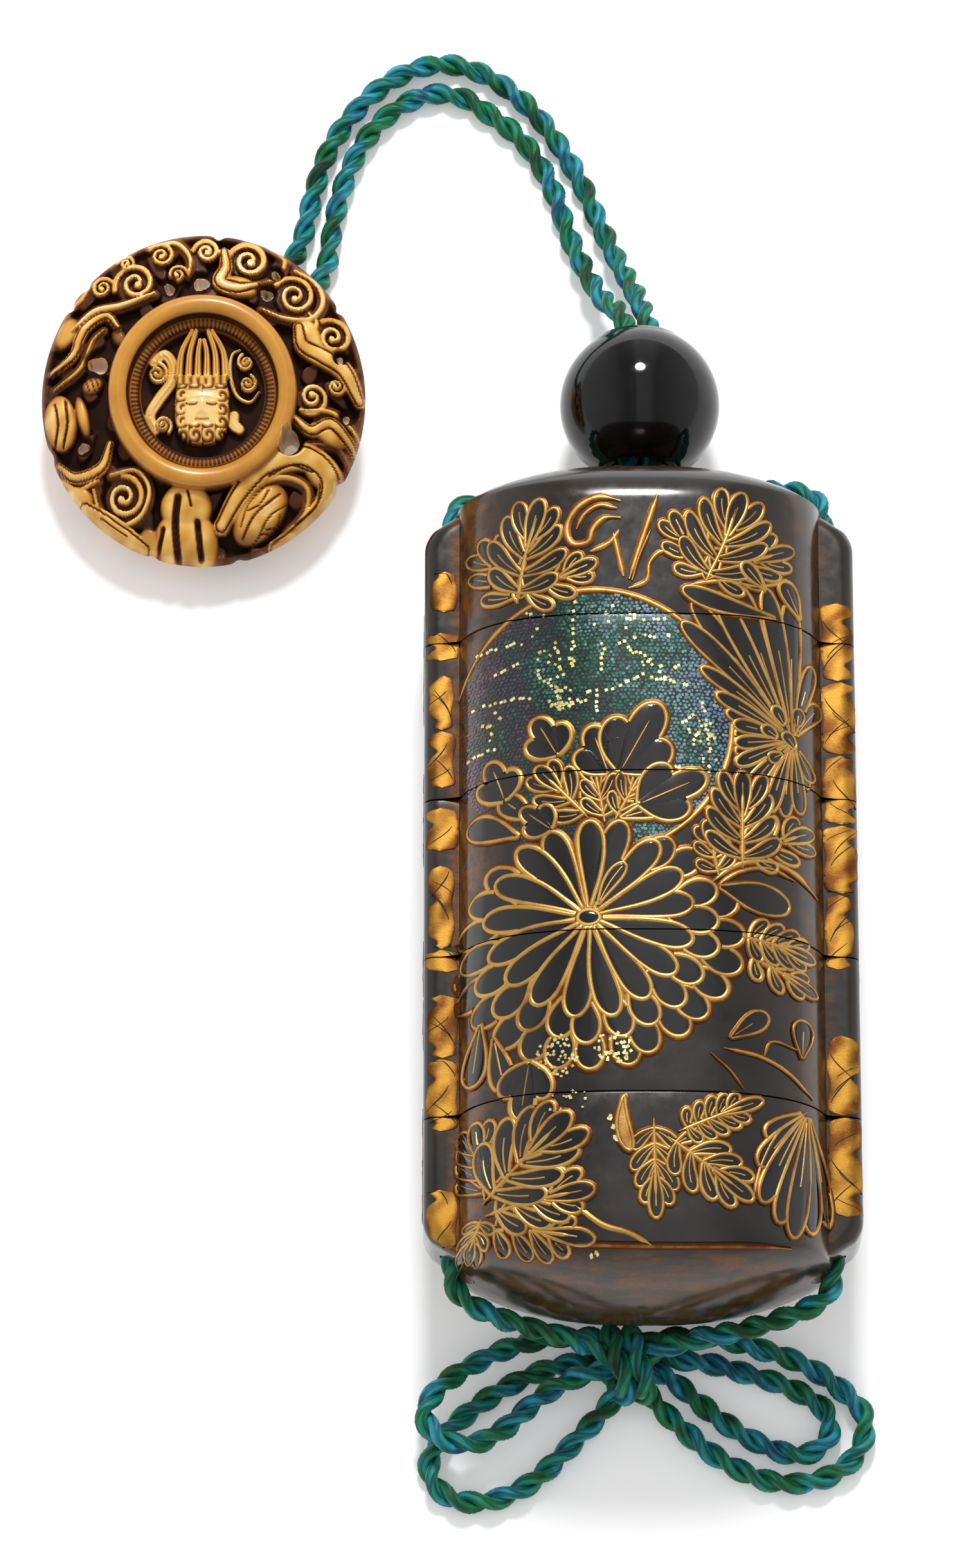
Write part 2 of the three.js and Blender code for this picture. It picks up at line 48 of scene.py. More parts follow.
def new_object(name, verts, faces, materials, smooth=True, material_index=None, attributes=None):
    """A mesh object from vertices in mm; attributes are {name: (kind, a value for each vertex)}."""
    mesh = bpy.data.meshes.new(name)
    verts = np.asarray(verts, float) * MM
    mesh.from_pydata(verts.tolist(), [], [list(map(int, f)) for f in faces])
    for material in materials:
        mesh.materials.append(material)
    if material_index is not None:
        mesh.polygons.foreach_set("material_index", np.asarray(material_index, np.int32))
    mesh.polygons.foreach_set("use_smooth", np.full(len(mesh.polygons), smooth))
    for key, (kind, values) in (attributes or {}).items():
        attribute = mesh.attributes.new(key, kind, "POINT")
        field = "vector" if kind == "FLOAT_VECTOR" else "value"
        attribute.data.foreach_set(field, np.asarray(values, np.float32).ravel())
    mesh.update()
    obj = bpy.data.objects.new(name, mesh)
    bpy.context.scene.collection.objects.link(obj)
    return obj


def catmull(points, step):
    """Centripetal Catmull-Rom line through points, resampled every `step` mm along its length."""
    p = np.asarray(points, float)
    q = np.vstack([2 * p[0] - p[1], p, 2 * p[-1] - p[-2]])
    fine = []
    for p0, p1, p2, p3 in zip(q, q[1:], q[2:], q[3:]):
        t1 = max(np.linalg.norm(p1 - p0), 1e-4) ** 0.5
        t2 = t1 + max(np.linalg.norm(p2 - p1), 1e-4) ** 0.5
        t3 = t2 + max(np.linalg.norm(p3 - p2), 1e-4) ** 0.5
        t = np.linspace(t1, t2, 40, endpoint=False)[:, None]
        a1 = (t1 - t) / t1 * p0 + t / t1 * p1
        a2 = (t2 - t) / (t2 - t1) * p1 + (t - t1) / (t2 - t1) * p2
        a3 = (t3 - t) / (t3 - t2) * p2 + (t - t2) / (t3 - t2) * p3
        b1 = (t2 - t) / t2 * a1 + t / t2 * a2
        b2 = (t3 - t) / (t3 - t1) * a2 + (t - t1) / (t3 - t1) * a3
        fine.append((t2 - t) / (t2 - t1) * b1 + (t - t1) / (t2 - t1) * b2)
    fine = np.vstack([*fine, p[-1:]])
    return evenly(fine, max(4, steps_along(fine, step) + 1))


def run_length(line):
    """Distance along a line at each of its points."""
    return np.concatenate([[0], np.cumsum(np.linalg.norm(np.diff(line, axis=0), axis=1))])


def steps_along(line, step):
    return int(round(run_length(line)[-1] / step))


def evenly(line, count, endpoint=True):
    """`count` points at even distances along a line, in as many dimensions as it has."""
    s = run_length(line)
    at = np.linspace(0, s[-1], count, endpoint=endpoint)
    return np.stack([np.interp(at, s, line[:, k]) for k in range(line.shape[1])], 1)


def unit(v):
    return v / np.maximum(np.linalg.norm(v, axis=-1, keepdims=True), 1e-12)


def frames(line):
    """Two side directions along a line that turn as little as they can."""
    tangent = unit(np.gradient(line, axis=0))
    side = np.zeros_like(line)
    start = np.cross(tangent[0], [0, 0, 1.0])
    if np.linalg.norm(start) < 1e-3:
        start = np.cross(tangent[0], [1.0, 0, 0])
    side[0] = unit(start)
    for i in range(1, len(line)):
        v = side[i - 1] - np.dot(side[i - 1], tangent[i]) * tangent[i]
        side[i] = unit(v)
    return side, np.cross(tangent, side)


# ---------------------------------------------------------------- materials


class Nodes:
    """A material, with short forms for building its node tree."""

    def __init__(self, name):
        self.material = bpy.data.materials.new(name)
        self.material.use_nodes = True
        self.tree = self.material.node_tree
        self.bsdf = self.tree.nodes["Principled BSDF"]

    def add(self, kind, links=None, **settings):
        node = self.tree.nodes.new("ShaderNode" + kind)
        for key, value in settings.items():
            setattr(node, key, value)
        for socket, value in (links or {}).items():
            self.set(node, socket, value)
        return node

    def set(self, node, socket, value):
        target = node.inputs[socket]
        if isinstance(value, bpy.types.NodeSocket):
            self.tree.links.new(value, target)
        else:
            target.default_value = value

    def math(self, operation, *values):
        node = self.add("Math", operation=operation)
        for i, value in enumerate(values):
            self.set(node, i, value)
        return node.outputs[0]

    def attribute(self, name, output="Fac"):
        return self.add("Attribute", attribute_name=name).outputs[output]

    def ramp(self, value, stops):
        node = self.add("ValToRGB", {"Fac": value})
        elements = node.color_ramp.elements
        while len(elements) < len(stops):
            elements.new(1.0)
        for element, (place, colour) in zip(elements, stops):
            element.position = place
            element.color = (*colour, 1)
        return node.outputs["Color"]

    def noise(self, vector, scale, detail=2.0, roughness=0.5):
        node = self.add("TexNoise", {"Vector": vector, "Scale": scale, "Detail": detail,
                                     "Roughness": roughness})
        return node.outputs["Fac"]

    def between(self, value, low, high):
        """0 at low, 1 at high and beyond; low may be the larger."""
        share = self.math("DIVIDE", self.math("SUBTRACT", value, low), high - low)
        return self.math("MAXIMUM", self.math("MINIMUM", share, 1.0), 0.0)

    def mix(self, factor, a, b, blend="MIX"):
        node = self.add("Mix", data_type="RGBA", blend_type=blend)
        self.set(node, 0, factor)
        self.set(node, 6, a if isinstance(a, bpy.types.NodeSocket) else (*a, 1))
        self.set(node, 7, b if isinstance(b, bpy.types.NodeSocket) else (*b, 1))
        return node.outputs[2]

    def bump(self, height, strength, distance):
        node = self.add("Bump", {"Height": height, "Strength": strength, "Distance": distance})
        return node.outputs["Normal"]

    def finish(self, **sockets):
        """Sets the shader's sockets, with _ for a space in their names, and gives the material."""
        for key, value in sockets.items():
            self.set(self.bsdf, key.replace("_", " "), value)
        return self.material


def silk_material():
    """Dyed silk. Its colour drifts along each ply, and its fibres follow the ply's twist, with painted shade
    in their grooves and painted highlight on their tops.
    """
    n = Nodes("silk")
    around, along, ply = n.add("SeparateXYZ", {0: n.attribute("lay", "Vector")}).outputs
    dye_at = n.add("CombineXYZ", {0: n.math("MULTIPLY", along, 0.15), 1: n.math("MULTIPLY", ply, 7.3)})
    dye = n.noise(dye_at.outputs[0], 1.0, 2.5, 0.7)
    dye = n.math("MULTIPLY_ADD", dye, 1.35, -0.175)
    dye = n.math("ADD", dye, n.math("MULTIPLY_ADD", n.math("MODULO", ply, 2.0), 0.07, -0.035))
    colour = n.ramp(dye, [(0.28, (0.0, 0.04, 0.018)), (0.39, (0.0, 0.115, 0.034)), (0.46, (0.0, 0.18, 0.085)),
                          (0.53, (0.0, 0.18, 0.165)), (0.60, (0.01, 0.25, 0.33)), (0.68, (0.0, 0.09, 0.18)),
                          (0.78, (0.0, 0.16, 0.15))])
    twist = n.math("ADD", n.math("MULTIPLY", around, 17.0), n.math("MULTIPLY", along, 1.9))
    fibre_at = n.add("CombineXYZ", {0: twist, 1: n.math("MULTIPLY", along, 0.3), 2: ply})
    fibre = n.noise(fibre_at.outputs[0], 1.0, 3.0, 0.65)
    yarns = n.math("SINE", n.math("ADD", n.math("MULTIPLY", around, 8 * math.pi),
                                  n.math("MULTIPLY", along, 2.6)))
    height = n.math("ADD", fibre, n.math("MULTIPLY", yarns, 0.22))
    # Painted shade in the grooves between fibres and yarns and painted highlight on their tops, multiplied
    # into the dye.
    shade = n.ramp(height, [(0.22, (0.16, 0.16, 0.16)), (0.5, (0.95, 0.95, 0.95)), (0.8, (1.5, 1.5, 1.5))])
    return n.finish(Base_Color=n.mix(0.9, colour, shade, "MULTIPLY"), Roughness=0.5, Specular_IOR_Level=0.32,
                    Sheen_Weight=0.1, Sheen_Roughness=0.4, Normal=n.bump(height, 0.9, 0.00016))


SILK = silk_material()

# ---------------------------------------------------------------- cord routes, in mm

MID_Z = 14.2                      # middle of the case's depth
CHANNEL_X = 20.7                  # where the channels run, to both sides
BEAD_CENTRE = np.array([0.4, 60.3, 9.0])
STRAND_GAP = 1.38                 # each strand from the bead's axis
LEFT_IN_BEAD = BEAD_CENTRE[0] - STRAND_GAP
RIGHT_IN_BEAD = BEAD_CENTRE[0] + STRAND_GAP
KNOT = np.array([-1.5, -51.2, 3.55])

UPPER_LEFT = [
    (-41.6, 71.2, 5.4), (-39.0, 74.4, 4.1), (-36.8, 77.6, 2.6), (-35.5, 81.0, 1.5), (-35.1, 84.2, 1.3),
    (-34.3, 88.6, 1.3), (-33.0, 93.0, 1.3), (-30.6, 97.6, 1.3), (-27.2, 101.0, 1.3), (-23.2, 102.7, 1.3),
    (-19.6, 102.1, 1.3), (-16.6, 100.0, 1.3), (-13.3, 97.2, 1.3), (-10.9, 93.8, 1.3), (-9.0, 89.6, 1.3),
    (-7.6, 84.9, 1.5), (-5.7, 80.0, 2.4), (-3.6, 75.2, 4.8), (-1.5, 71.6, 8.2), (LEFT_IN_BEAD, 68.2, 9.0),
    (LEFT_IN_BEAD, 64.0, 9.0), (LEFT_IN_BEAD, 57.5, 9.0), (LEFT_IN_BEAD, 53.6, 9.0),
]
UPPER_RIGHT = [
    (-44.8, 73.0, 5.8), (-42.6, 76.2, 4.5), (-40.6, 79.3, 2.9), (-39.0, 82.4, 1.6), (-38.1, 85.4, 1.3),
    (-37.3, 89.2, 1.3), (-36.0, 94.0, 1.3), (-33.8, 98.4, 1.3), (-30.4, 102.6, 1.3), (-26.4, 105.4, 1.3),
    (-22.1, 106.5, 1.3), (-17.6, 105.3, 1.3), (-13.6, 102.5, 1.3), (-10.3, 98.8, 1.3), (-7.7, 94.6, 1.3),
    (-5.6, 90.4, 1.3), (-3.9, 86.0, 1.5), (-1.9, 81.0, 2.6), (0.2, 75.4, 5.4), (1.3, 71.3, 7.9),
    (RIGHT_IN_BEAD, 68.2, 8.9), (RIGHT_IN_BEAD, 64.0, 9.0), (RIGHT_IN_BEAD, 57.5, 9.0),
    (RIGHT_IN_BEAD, 53.6, 9.0),
]
OVER_LID_RIGHT = [
    (RIGHT_IN_BEAD, 53.1, 9.0), (2.1, 51.7, 8.8), (3.9, 50.6, 8.7), (6.6, 50.1, 8.8), (10.2, 49.6, 9.6),
    (13.8, 48.9, 11.4), (17.2, 48.1, 13.4), (19.9, 46.8, 14.2), (20.8, 44.4, 14.2), (20.7, 41.3, 14.2),
]
OVER_LID_LEFT = [
    (LEFT_IN_BEAD, 53.1, 9.0), (-1.3, 51.7, 8.7), (-3.2, 50.6, 8.4), (-6.2, 50.1, 8.1), (-10.0, 49.5, 8.1),
    (-13.8, 48.6, 8.8), (-17.4, 47.6, 10.6), (-20.0, 46.3, 12.8), (-20.8, 44.4, 14.0), (-20.7, 41.3, 14.2),
]
UNDER_BASE_RIGHT = [
    (20.7, -41.3, 14.2), (20.9, -44.3, 14.2), (19.8, -46.7, 13.9), (16.2, -48.3, 12.9), (11.8, -49.2, 11.0),
    (7.6, -49.6, 8.9), (4.0, -49.9, 7.0), (2.6, -50.1, 6.3),
]
UNDER_BASE_LEFT = [
    (-20.7, -41.3, 14.2), (-20.8, -44.3, 14.2), (-19.8, -46.6, 13.9), (-16.7, -48.2, 12.9),
    (-13.0, -49.1, 11.2), (-9.4, -49.5, 9.0), (-6.4, -49.9, 7.0), (-5.6, -50.1, 6.4),
]
BOWS = {
    "bow_upper_left": [
        (-6.1, -48.1, 3.2), (-10.2, -48.1, 2.7), (-14.6, -49.0, 1.9), (-19.0, -51.4, 2.6),
        (-22.6, -54.4, 3.7), (-23.9, -57.2, 4.0), (-22.2, -59.8, 4.0), (-18.4, -60.4, 4.0),
        (-14.8, -58.4, 3.5), (-11.6, -55.2, 2.6), (-8.4, -53.2, 3.2), (-5.9, -52.5, 3.9)],
    "bow_lower_left": [
        (-6.1, -50.4, 1.3), (-10.4, -51.3, 1.3), (-15.0, -53.4, 1.3), (-19.0, -56.2, 1.3),
        (-22.2, -59.4, 1.3), (-23.4, -62.8, 1.3), (-21.2, -65.8, 1.3), (-16.8, -66.2, 1.3),
        (-12.2, -64.2, 1.3), (-8.4, -60.6, 1.3), (-5.2, -57.2, 1.4), (-3.2, -54.9, 1.9)],
    "bow_upper_right": [
        (3.1, -50.1, 1.3), (7.4, -50.6, 1.3), (12.0, -51.9, 1.3), (16.4, -53.4, 1.3), (20.2, -56.0, 1.3),
        (20.6, -59.0, 1.3), (17.8, -61.0, 1.3), (13.6, -60.0, 1.3), (9.2, -57.4, 1.3), (5.8, -54.6, 1.3),
        (2.7, -52.0, 1.3)],
    "bow_lower_right": [
        (3.0, -48.3, 3.4), (7.6, -48.2, 3.4), (12.6, -49.2, 2.6), (17.4, -50.6, 1.7), (21.6, -53.2, 1.3),
        (24.6, -56.8, 1.3), (23.6, -61.0, 1.3), (19.6, -63.8, 1.3), (14.2, -64.0, 1.3), (8.8, -61.6, 1.3),
        (4.2, -57.8, 1.4), (1.2, -54.8, 1.9)],
}
# Inside the knot: the end of each strand by side, and the first and last point of each bow's rope.
STRAND_IN_KNOT = {-1: (-3.2, -50.7, 5.0), 1: (0.4, -50.7, 5.0)}
BOW_ENDS = {
    "bow_upper_left": ((-2.8, -49.2, 3.9), (-2.6, -51.6, 4.1)),
    "bow_lower_left": ((-2.6, -50.4, 1.7), (-2.0, -52.4, 2.4)),
    "bow_upper_right": ((-0.2, -50.2, 1.9), (-0.3, -51.4, 2.2)),
    "bow_lower_right": ((-0.2, -49.2, 3.9), (-0.4, -52.4, 2.6)),
}


def strand_route(upper, over, side, under):
    """One strand from the netsuke through bead and channel into the knot."""
    channel = [(side * CHANNEL_X, y, MID_Z) for y in np.linspace(36, -36, 9)]
    return [*upper, *over[1:], *channel, *under, STRAND_IN_KNOT[side]]


# ---------------------------------------------------------------- rope

PLY_RADIUS, PLY_OFFSET = 0.69, 0.60
ROPE_PITCH = 6.6                  # length of one turn of the two plies round each other
YARN_PITCH, YARNS = 4.2, 3        # and of the yarns in a ply
PLY_SIDES, ROPE_STEP = 12, 0.36
CORD_FLOOR = 1.3                  # lowest height of its middle line


def rope_mesh(line, phase, first_ply):
    """Two plies laid round a line: vertices, faces and for each vertex its turn, distance and ply."""
    side, up = frames(line)
    s = run_length(line)
    n = len(s)
    verts, faces, lay = [], [], []
    for ply in range(2):
        turn = phase + ply * math.pi + 2 * math.pi * s / ROPE_PITCH
        out = np.cos(turn)[:, None] * side + np.sin(turn)[:, None] * up
        centre = line + PLY_OFFSET * out
        along = unit(np.gradient(centre, axis=0))
        across = unit(np.cross(along, out))
        out = np.cross(across, along)
        base = len(verts)
        for k in range(PLY_SIDES):
            angle = 2 * math.pi * k / PLY_SIDES
            groove = 1 + 0.05 * np.cos(YARNS * (angle + 2 * math.pi * s / YARN_PITCH))
            spoke = math.cos(angle) * out + math.sin(angle) * across
            verts.append(centre + (PLY_RADIUS * groove)[:, None] * spoke)
            lay.append(np.stack([np.full(n, k / PLY_SIDES), s, np.full(n, first_ply + ply)], 1))
        for i in range(n - 1):
            for k in range(PLY_SIDES):
                a = (base + k) * n + i
                b = (base + (k + 1) % PLY_SIDES) * n + i
                faces.append((a, b, b + 1, a + 1))
        for end, order in ((0, 1), (n - 1, -1)):
            faces.append([(base + k) * n + end for k in range(PLY_SIDES)][::-order])
    return np.vstack(verts), faces, np.vstack(lay)


def rope_piece(name, route, nodes, phase, first_ply):
    """One rope along a route, in place of the CAD nodes."""
    line = catmull(route, ROPE_STEP)
    verts, faces, lay = rope_mesh(line, phase, first_ply)
    obj = new_object(name, verts, faces, [SILK], attributes={"lay": ("FLOAT_VECTOR", lay)})
    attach(obj, "root")
    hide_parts(*nodes)


def build_knot():
    """Turns of the cord bound side by side over the middle of the bow, slanting down to the right."""
    turns, pitch, reach, depth, slant = 2, 2.2, 3.4, 2.5, 0.4
    middle = KNOT + (0, -0.2, 0.3)
    angle = math.pi + 2 * math.pi * turns * np.linspace(0, 1, 60)
    drop = reach * np.sin(angle)
    across = pitch * (angle - angle.mean()) / (2 * math.pi) - slant * drop
    line = middle + np.stack([across, drop, depth * np.cos(angle)], 1)
    line[:, 2] = np.maximum(line[:, 2], CORD_FLOOR)
    verts, faces, lay = rope_mesh(catmull(line, ROPE_STEP), 0.3, 20)
    obj = new_object("knot", verts, faces, [SILK], attributes={"lay": ("FLOAT_VECTOR", lay)})
    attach(obj, "root")
    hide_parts("cord_knot")
    return obj


def build_cord():
    knot = build_knot()
    left = strand_route(UPPER_LEFT, OVER_LID_LEFT, -1, UNDER_BASE_LEFT)
    right = strand_route(UPPER_RIGHT, OVER_LID_RIGHT, 1, UNDER_BASE_RIGHT)
    stretches = ("cord_upper_", "cord_over_lid_", "cord_channel_", "cord_under_base_")
    for hand, route, phase, first_ply in (("left", left, 0.4, 0), ("right", right, 1.7, 2)):
        nodes = [stretch + hand for stretch in stretches]
        rope_piece("strand_" + hand, route, nodes, phase, first_ply)
    for index, (name, route) in enumerate(BOWS.items()):
        first, last = BOW_ENDS[name]
        rope_piece("rope_" + name, [first, *route, last], [name], 0.9 * index, 4 + 2 * index)


build_cord()

# ---------------------------------------------------------------- the case's outer form, in mm

HALF_WIDTH, HALF_DEPTH, OVAL_POWER = 20.5, 14.5, 2.65
SIDE_END, FACE_END, TOP = 43.8, 41.0, 48.8
SIDE_DOME_POWER, FACE_DOME_POWER = 1.15, 2.3
SEAMS = (-27.6, -9.2, 9.2, 27.6)
RUNNER_HALF_WIDTH, RUNNER_HALF_DEPTH, RUNNER_EDGE = 24.0, 4.7, 1.5
CHANNEL_RADIUS, CHANNEL_MOUTH = 1.5, 2.4
CORNER_START = 39.0               # where the runner's straight side ends
SHOULDER_X, SHOULDER_Y = 23.1, 41.4
RUNNER_INNER_END = 43.2           # where its sloping shoulder meets the body
BODY_STEPS, RUNNER_STEPS = 40, 18
QUARTER_TURN_STEPS = 3000
JOINT_DEGREES = 13.2              # where the steps change over on the domes, up from the side


def half_sizes(y):
    """Half width and half depth of the oval body at y."""
    far = np.abs(y)
    side = np.clip((far - SIDE_END) / (TOP - SIDE_END), 0, 1)
    face = np.clip((far - FACE_END) / (TOP - FACE_END), 0, 1)
    a = HALF_WIDTH * np.sqrt(1 - side ** SIDE_DOME_POWER)
    b = HALF_DEPTH * np.sqrt(1 - face ** FACE_DOME_POWER)
    return a, b


def runner_reach(y):
    """Half width of the runners at y, and how far their rounded edge comes in; zero past their ends."""
    far = np.abs(y)
    t = np.clip((far - CORNER_START) / (SHOULDER_Y - CORNER_START), 0, 1)
    bend = RUNNER_HALF_WIDTH + t ** 2 * (SHOULDER_X - RUNNER_HALF_WIDTH)
    share = (far - SHOULDER_Y) / (RUNNER_INNER_END - SHOULDER_Y)
    slope = SHOULDER_X + share * (HALF_WIDTH - SHOULDER_X)
    reach = np.where(far < SHOULDER_Y, bend, np.where(far < RUNNER_INNER_END, slope, 0.0))
    return reach, RUNNER_EDGE + t * 1.1


def oval_radius(a, b, c, s):
    """Distance from the middle to an oval of half sizes a and b, in the direction (c, s)."""
    return (np.abs(c / a) ** OVAL_POWER + np.abs(s / b) ** OVAL_POWER) ** (-1 / OVAL_POWER)


def section_quarter(y):
    """Outline of the body with its runner at y, from the middle of the face round to the side."""
    a, b = half_sizes(y)
    angle = np.linspace(0, math.pi / 2, QUARTER_TURN_STEPS + 1)
    c, s = np.cos(angle), np.sin(angle)
    body = oval_radius(a, b, c, s)
    reach, edge = runner_reach(y)
    runner = np.zeros_like(body)
    if reach > 0:
        with np.errstate(divide="ignore", invalid="ignore"):
            at_side = reach / c
            at_top = RUNNER_HALF_DEPTH / s
            cx, cz = reach - edge, RUNNER_HALF_DEPTH - RUNNER_EDGE
            qa = (c / edge) ** 2 + (s / RUNNER_EDGE) ** 2
            qb = c * cx / edge ** 2 + s * cz / RUNNER_EDGE ** 2
            qc = (cx / edge) ** 2 + (cz / RUNNER_EDGE) ** 2 - 1
            corner = (qb + np.sqrt(np.maximum(qb ** 2 - qa * qc, 0))) / qa
            runner = np.where(at_side * s <= cz, at_side,
                              np.where(at_top * c <= cx, at_top, corner))
    outside = np.flatnonzero(runner > body + 1e-6)
    joint = int(outside[-1]) + 1 if len(outside) else int(QUARTER_TURN_STEPS * JOINT_DEGREES / 90)
    radius = np.maximum(body, runner)
    line = np.stack([radius * c, radius * s], 1)
    on_body = evenly(line[joint:][::-1], BODY_STEPS + 1)
    on_runner = evenly(line[:joint + 1][::-1], RUNNER_STEPS + 1)
    return np.vstack([on_body, on_runner[1:]])


def close_ring(quarter, y):
    """A whole ring from a quarter outline, starting at the middle of the front."""
    x, z = quarter[:, 0], quarter[:, 1]
    xs = np.concatenate([x, x[::-1][1:], -x[1:], -x[::-1][1:-1]])
    zs = np.concatenate([z, -z[::-1][1:], -z[1:], z[::-1][1:-1]])
    return np.stack([xs, np.full_like(xs, y), np.maximum(MID_Z + zs, 0)], 1)


def outer_ring(y, inset=0.0):
    """Ring of the body and its runners at y, drawn in by `inset`."""
    quarter = section_quarter(y)
    if inset:
        tangent = unit(np.gradient(quarter, axis=0))
        normal = np.stack([-tangent[:, 1], tangent[:, 0]], 1)
        normal *= np.sign((normal * quarter).sum(1))[:, None]
        quarter = quarter - inset * normal
        quarter[0, 0] = 0
        quarter[-1, 1] = 0
    return close_ring(quarter, y)


def oval_ring(a, b, y):
    """Ring of a plain oval, with as many points as an outer ring."""
    count = BODY_STEPS + RUNNER_STEPS
    angle = np.linspace(math.pi / 2, 0, count + 1)
    c, s = np.cos(angle), np.sin(angle)
    radius = oval_radius(a, b, c, s)
    return close_ring(np.stack([radius * c, radius * s], 1), y)


def skin(rings):
    """Vertices and faces through rings of the same count, with both ends closed by a fan."""
    count = len(rings[0])
    faces = []
    for r in range(len(rings) - 1):
        for k in range(count):
            a, b = r * count + k, r * count + (k + 1) % count
            faces.append((a, b, b + count, a + count))
    verts = np.vstack([*rings, rings[0].mean(0), rings[-1].mean(0)])
    first, last = len(verts) - 2, len(verts) - 1
    base = (len(rings) - 1) * count
    for k in range(count):
        after = (k + 1) % count
        faces.append((first, after, k))
        faces.append((last, base + k, base + after))
    return verts, faces


SEAM_HALF = 0.075
CLEARANCE = 0.35                  # between a riser and the section above it
RISER_WALL, DOME_WALL = 1.05, 1.7
RISER_HEIGHT, FLOOR = 5.0, 1.5
# Half width and half depth of the opening over the riser, of the riser and of the compartment.
SKIRT = (HALF_WIDTH - 2.6, HALF_DEPTH - 1.1)
RISER = (SKIRT[0] - CLEARANCE, SKIRT[1] - CLEARANCE)
CAVITY = (RISER[0] - RISER_WALL, RISER[1] - RISER_WALL)
# Height from the seam and inset of the rings that round a section's edge.
EDGE_STEPS = ((0.0, 0.075), (0.02, 0.035), (0.05, 0.01), (0.1, 0.0))


def lower_edge(y):
    return [outer_ring(y + dy, inset) for dy, inset in EDGE_STEPS]


def upper_edge(y):
    return [outer_ring(y - dy, inset) for dy, inset in reversed(EDGE_STEPS)]


def straight(low, high):
    """Outer rings of a middle section, its edges slightly rounded."""
    middle = [outer_ring(y) for y in np.linspace(low + 1.5, high - 1.5, 5)]
    return lower_edge(low) + middle + upper_edge(high)


def dome_rings(side):
    """Outer rings from the end of the straight part to the top, for side 1 or -1."""
    places = [*np.linspace(38.2, SHOULDER_Y, 9), *np.linspace(41.7, RUNNER_INNER_END, 7), 43.35, SIDE_END]
    places += [TOP - (TOP - SIDE_END) * (1 - t) ** 2 for t in np.linspace(0.06, 0.995, 24)]
    return [outer_ring(side * y) for y in places]


def inner_dome(sizes, side):
    """Rings of the hollow under a dome, which keeps the dome's own curves."""
    rings = []
    for t in np.linspace(0, 0.97, 9):
        y = FACE_END - DOME_WALL + t * (TOP - FACE_END)
        s = max(0, (y - SIDE_END + DOME_WALL) / (TOP - SIDE_END))
        rings.append(oval_ring(sizes[0] * math.sqrt(1 - s ** SIDE_DOME_POWER),
                               sizes[1] * math.sqrt(1 - t ** FACE_DOME_POWER), side * y))
    return rings


def section_mesh(index):
    """Section 0 is the base and 4 the lid: a closed shell through its outer and inner rings."""
    if index == 4:
        low = SEAMS[3] + SEAM_HALF
        outside = lower_edge(low) + [outer_ring(y) for y in (30, 34, 37)] + dome_rings(1)
        hollow = [oval_ring(*SKIRT, low), oval_ring(*SKIRT, 34)] + inner_dome(SKIRT, 1)
        return skin(hollow[::-1] + outside)
    high = SEAMS[index] - SEAM_HALF
    top = [oval_ring(*RISER, high), oval_ring(*RISER, high + RISER_HEIGHT - 0.2),
           oval_ring(RISER[0] - 0.2, RISER[1] - 0.2, high + RISER_HEIGHT),
           oval_ring(CAVITY[0] + 0.2, CAVITY[1] + 0.2, high + RISER_HEIGHT),
           oval_ring(*CAVITY, high + RISER_HEIGHT - 0.2)]
    if index == 0:
        outside = dome_rings(-1)[::-1] + [outer_ring(y) for y in (-37, -34, -30)] + upper_edge(high)
        compartment = [oval_ring(*CAVITY, -34)] + inner_dome(CAVITY, -1)
        return skin(outside + top + compartment)
    low = SEAMS[index - 1] + SEAM_HALF
    roof = low + RISER_HEIGHT + CLEARANCE
    hollow = [oval_ring(*SKIRT, low), oval_ring(*SKIRT, roof)]
    floor = [oval_ring(*CAVITY, roof + FLOOR)]
    return skin(hollow[::-1] + straight(low, high) + top + floor)


def channel_cutter(side):
    """The round channel for the cord, its two mouths flared."""
    flare = CHANNEL_MOUTH - CHANNEL_RADIUS
    half = ((RUNNER_INNER_END - flare, CHANNEL_RADIUS), (RUNNER_INNER_END + flare, CHANNEL_MOUTH),
            (60, CHANNEL_RADIUS))
    angle = np.linspace(0, 2 * math.pi, 33)[:-1]
    rings = []
    for y, radius in [(-y, radius) for y, radius in half[::-1]] + list(half):
        rings.append(np.stack([side * CHANNEL_X + radius * np.sin(angle), np.full(len(angle), float(y)),
                               MID_Z + radius * np.cos(angle)], 1))
    obj = new_object("cutter", *skin(rings), [])
    fix_normals(obj.data)
    return obj


def fix_normals(mesh):
    """Joins points that coincide and turns every face outwards."""
    bm = bmesh.new()
    bm.from_mesh(mesh)
    bmesh.ops.remove_doubles(bm, verts=bm.verts, dist=1e-7)
    bmesh.ops.recalc_face_normals(bm, faces=bm.faces)
    bm.to_mesh(mesh)
    bm.free()


def cut_away(obj, cutters, sharp_degrees):
    """Takes the cutters' forms out of an object, and shades it smooth up to an angle."""
    for cutter in cutters:
        modifier = obj.modifiers.new("cut", "BOOLEAN")
        modifier.operation = "DIFFERENCE"
        modifier.solver = "EXACT"
        modifier.object = cutter
    graph = bpy.context.evaluated_depsgraph_get()
    done = bpy.data.meshes.new_from_object(obj.evaluated_get(graph))
    obj.modifiers.clear()
    obj.data = done
    shade_smooth(done)
    done.set_sharp_from_angle(angle=math.radians(sharp_degrees))


def shade_smooth(mesh):
    mesh.polygons.foreach_set("use_smooth", np.ones(len(mesh.polygons), bool))


GOLD_DUST = (0.25, 0.088, 0.013)


def grey(level):
    return (level,) * 3


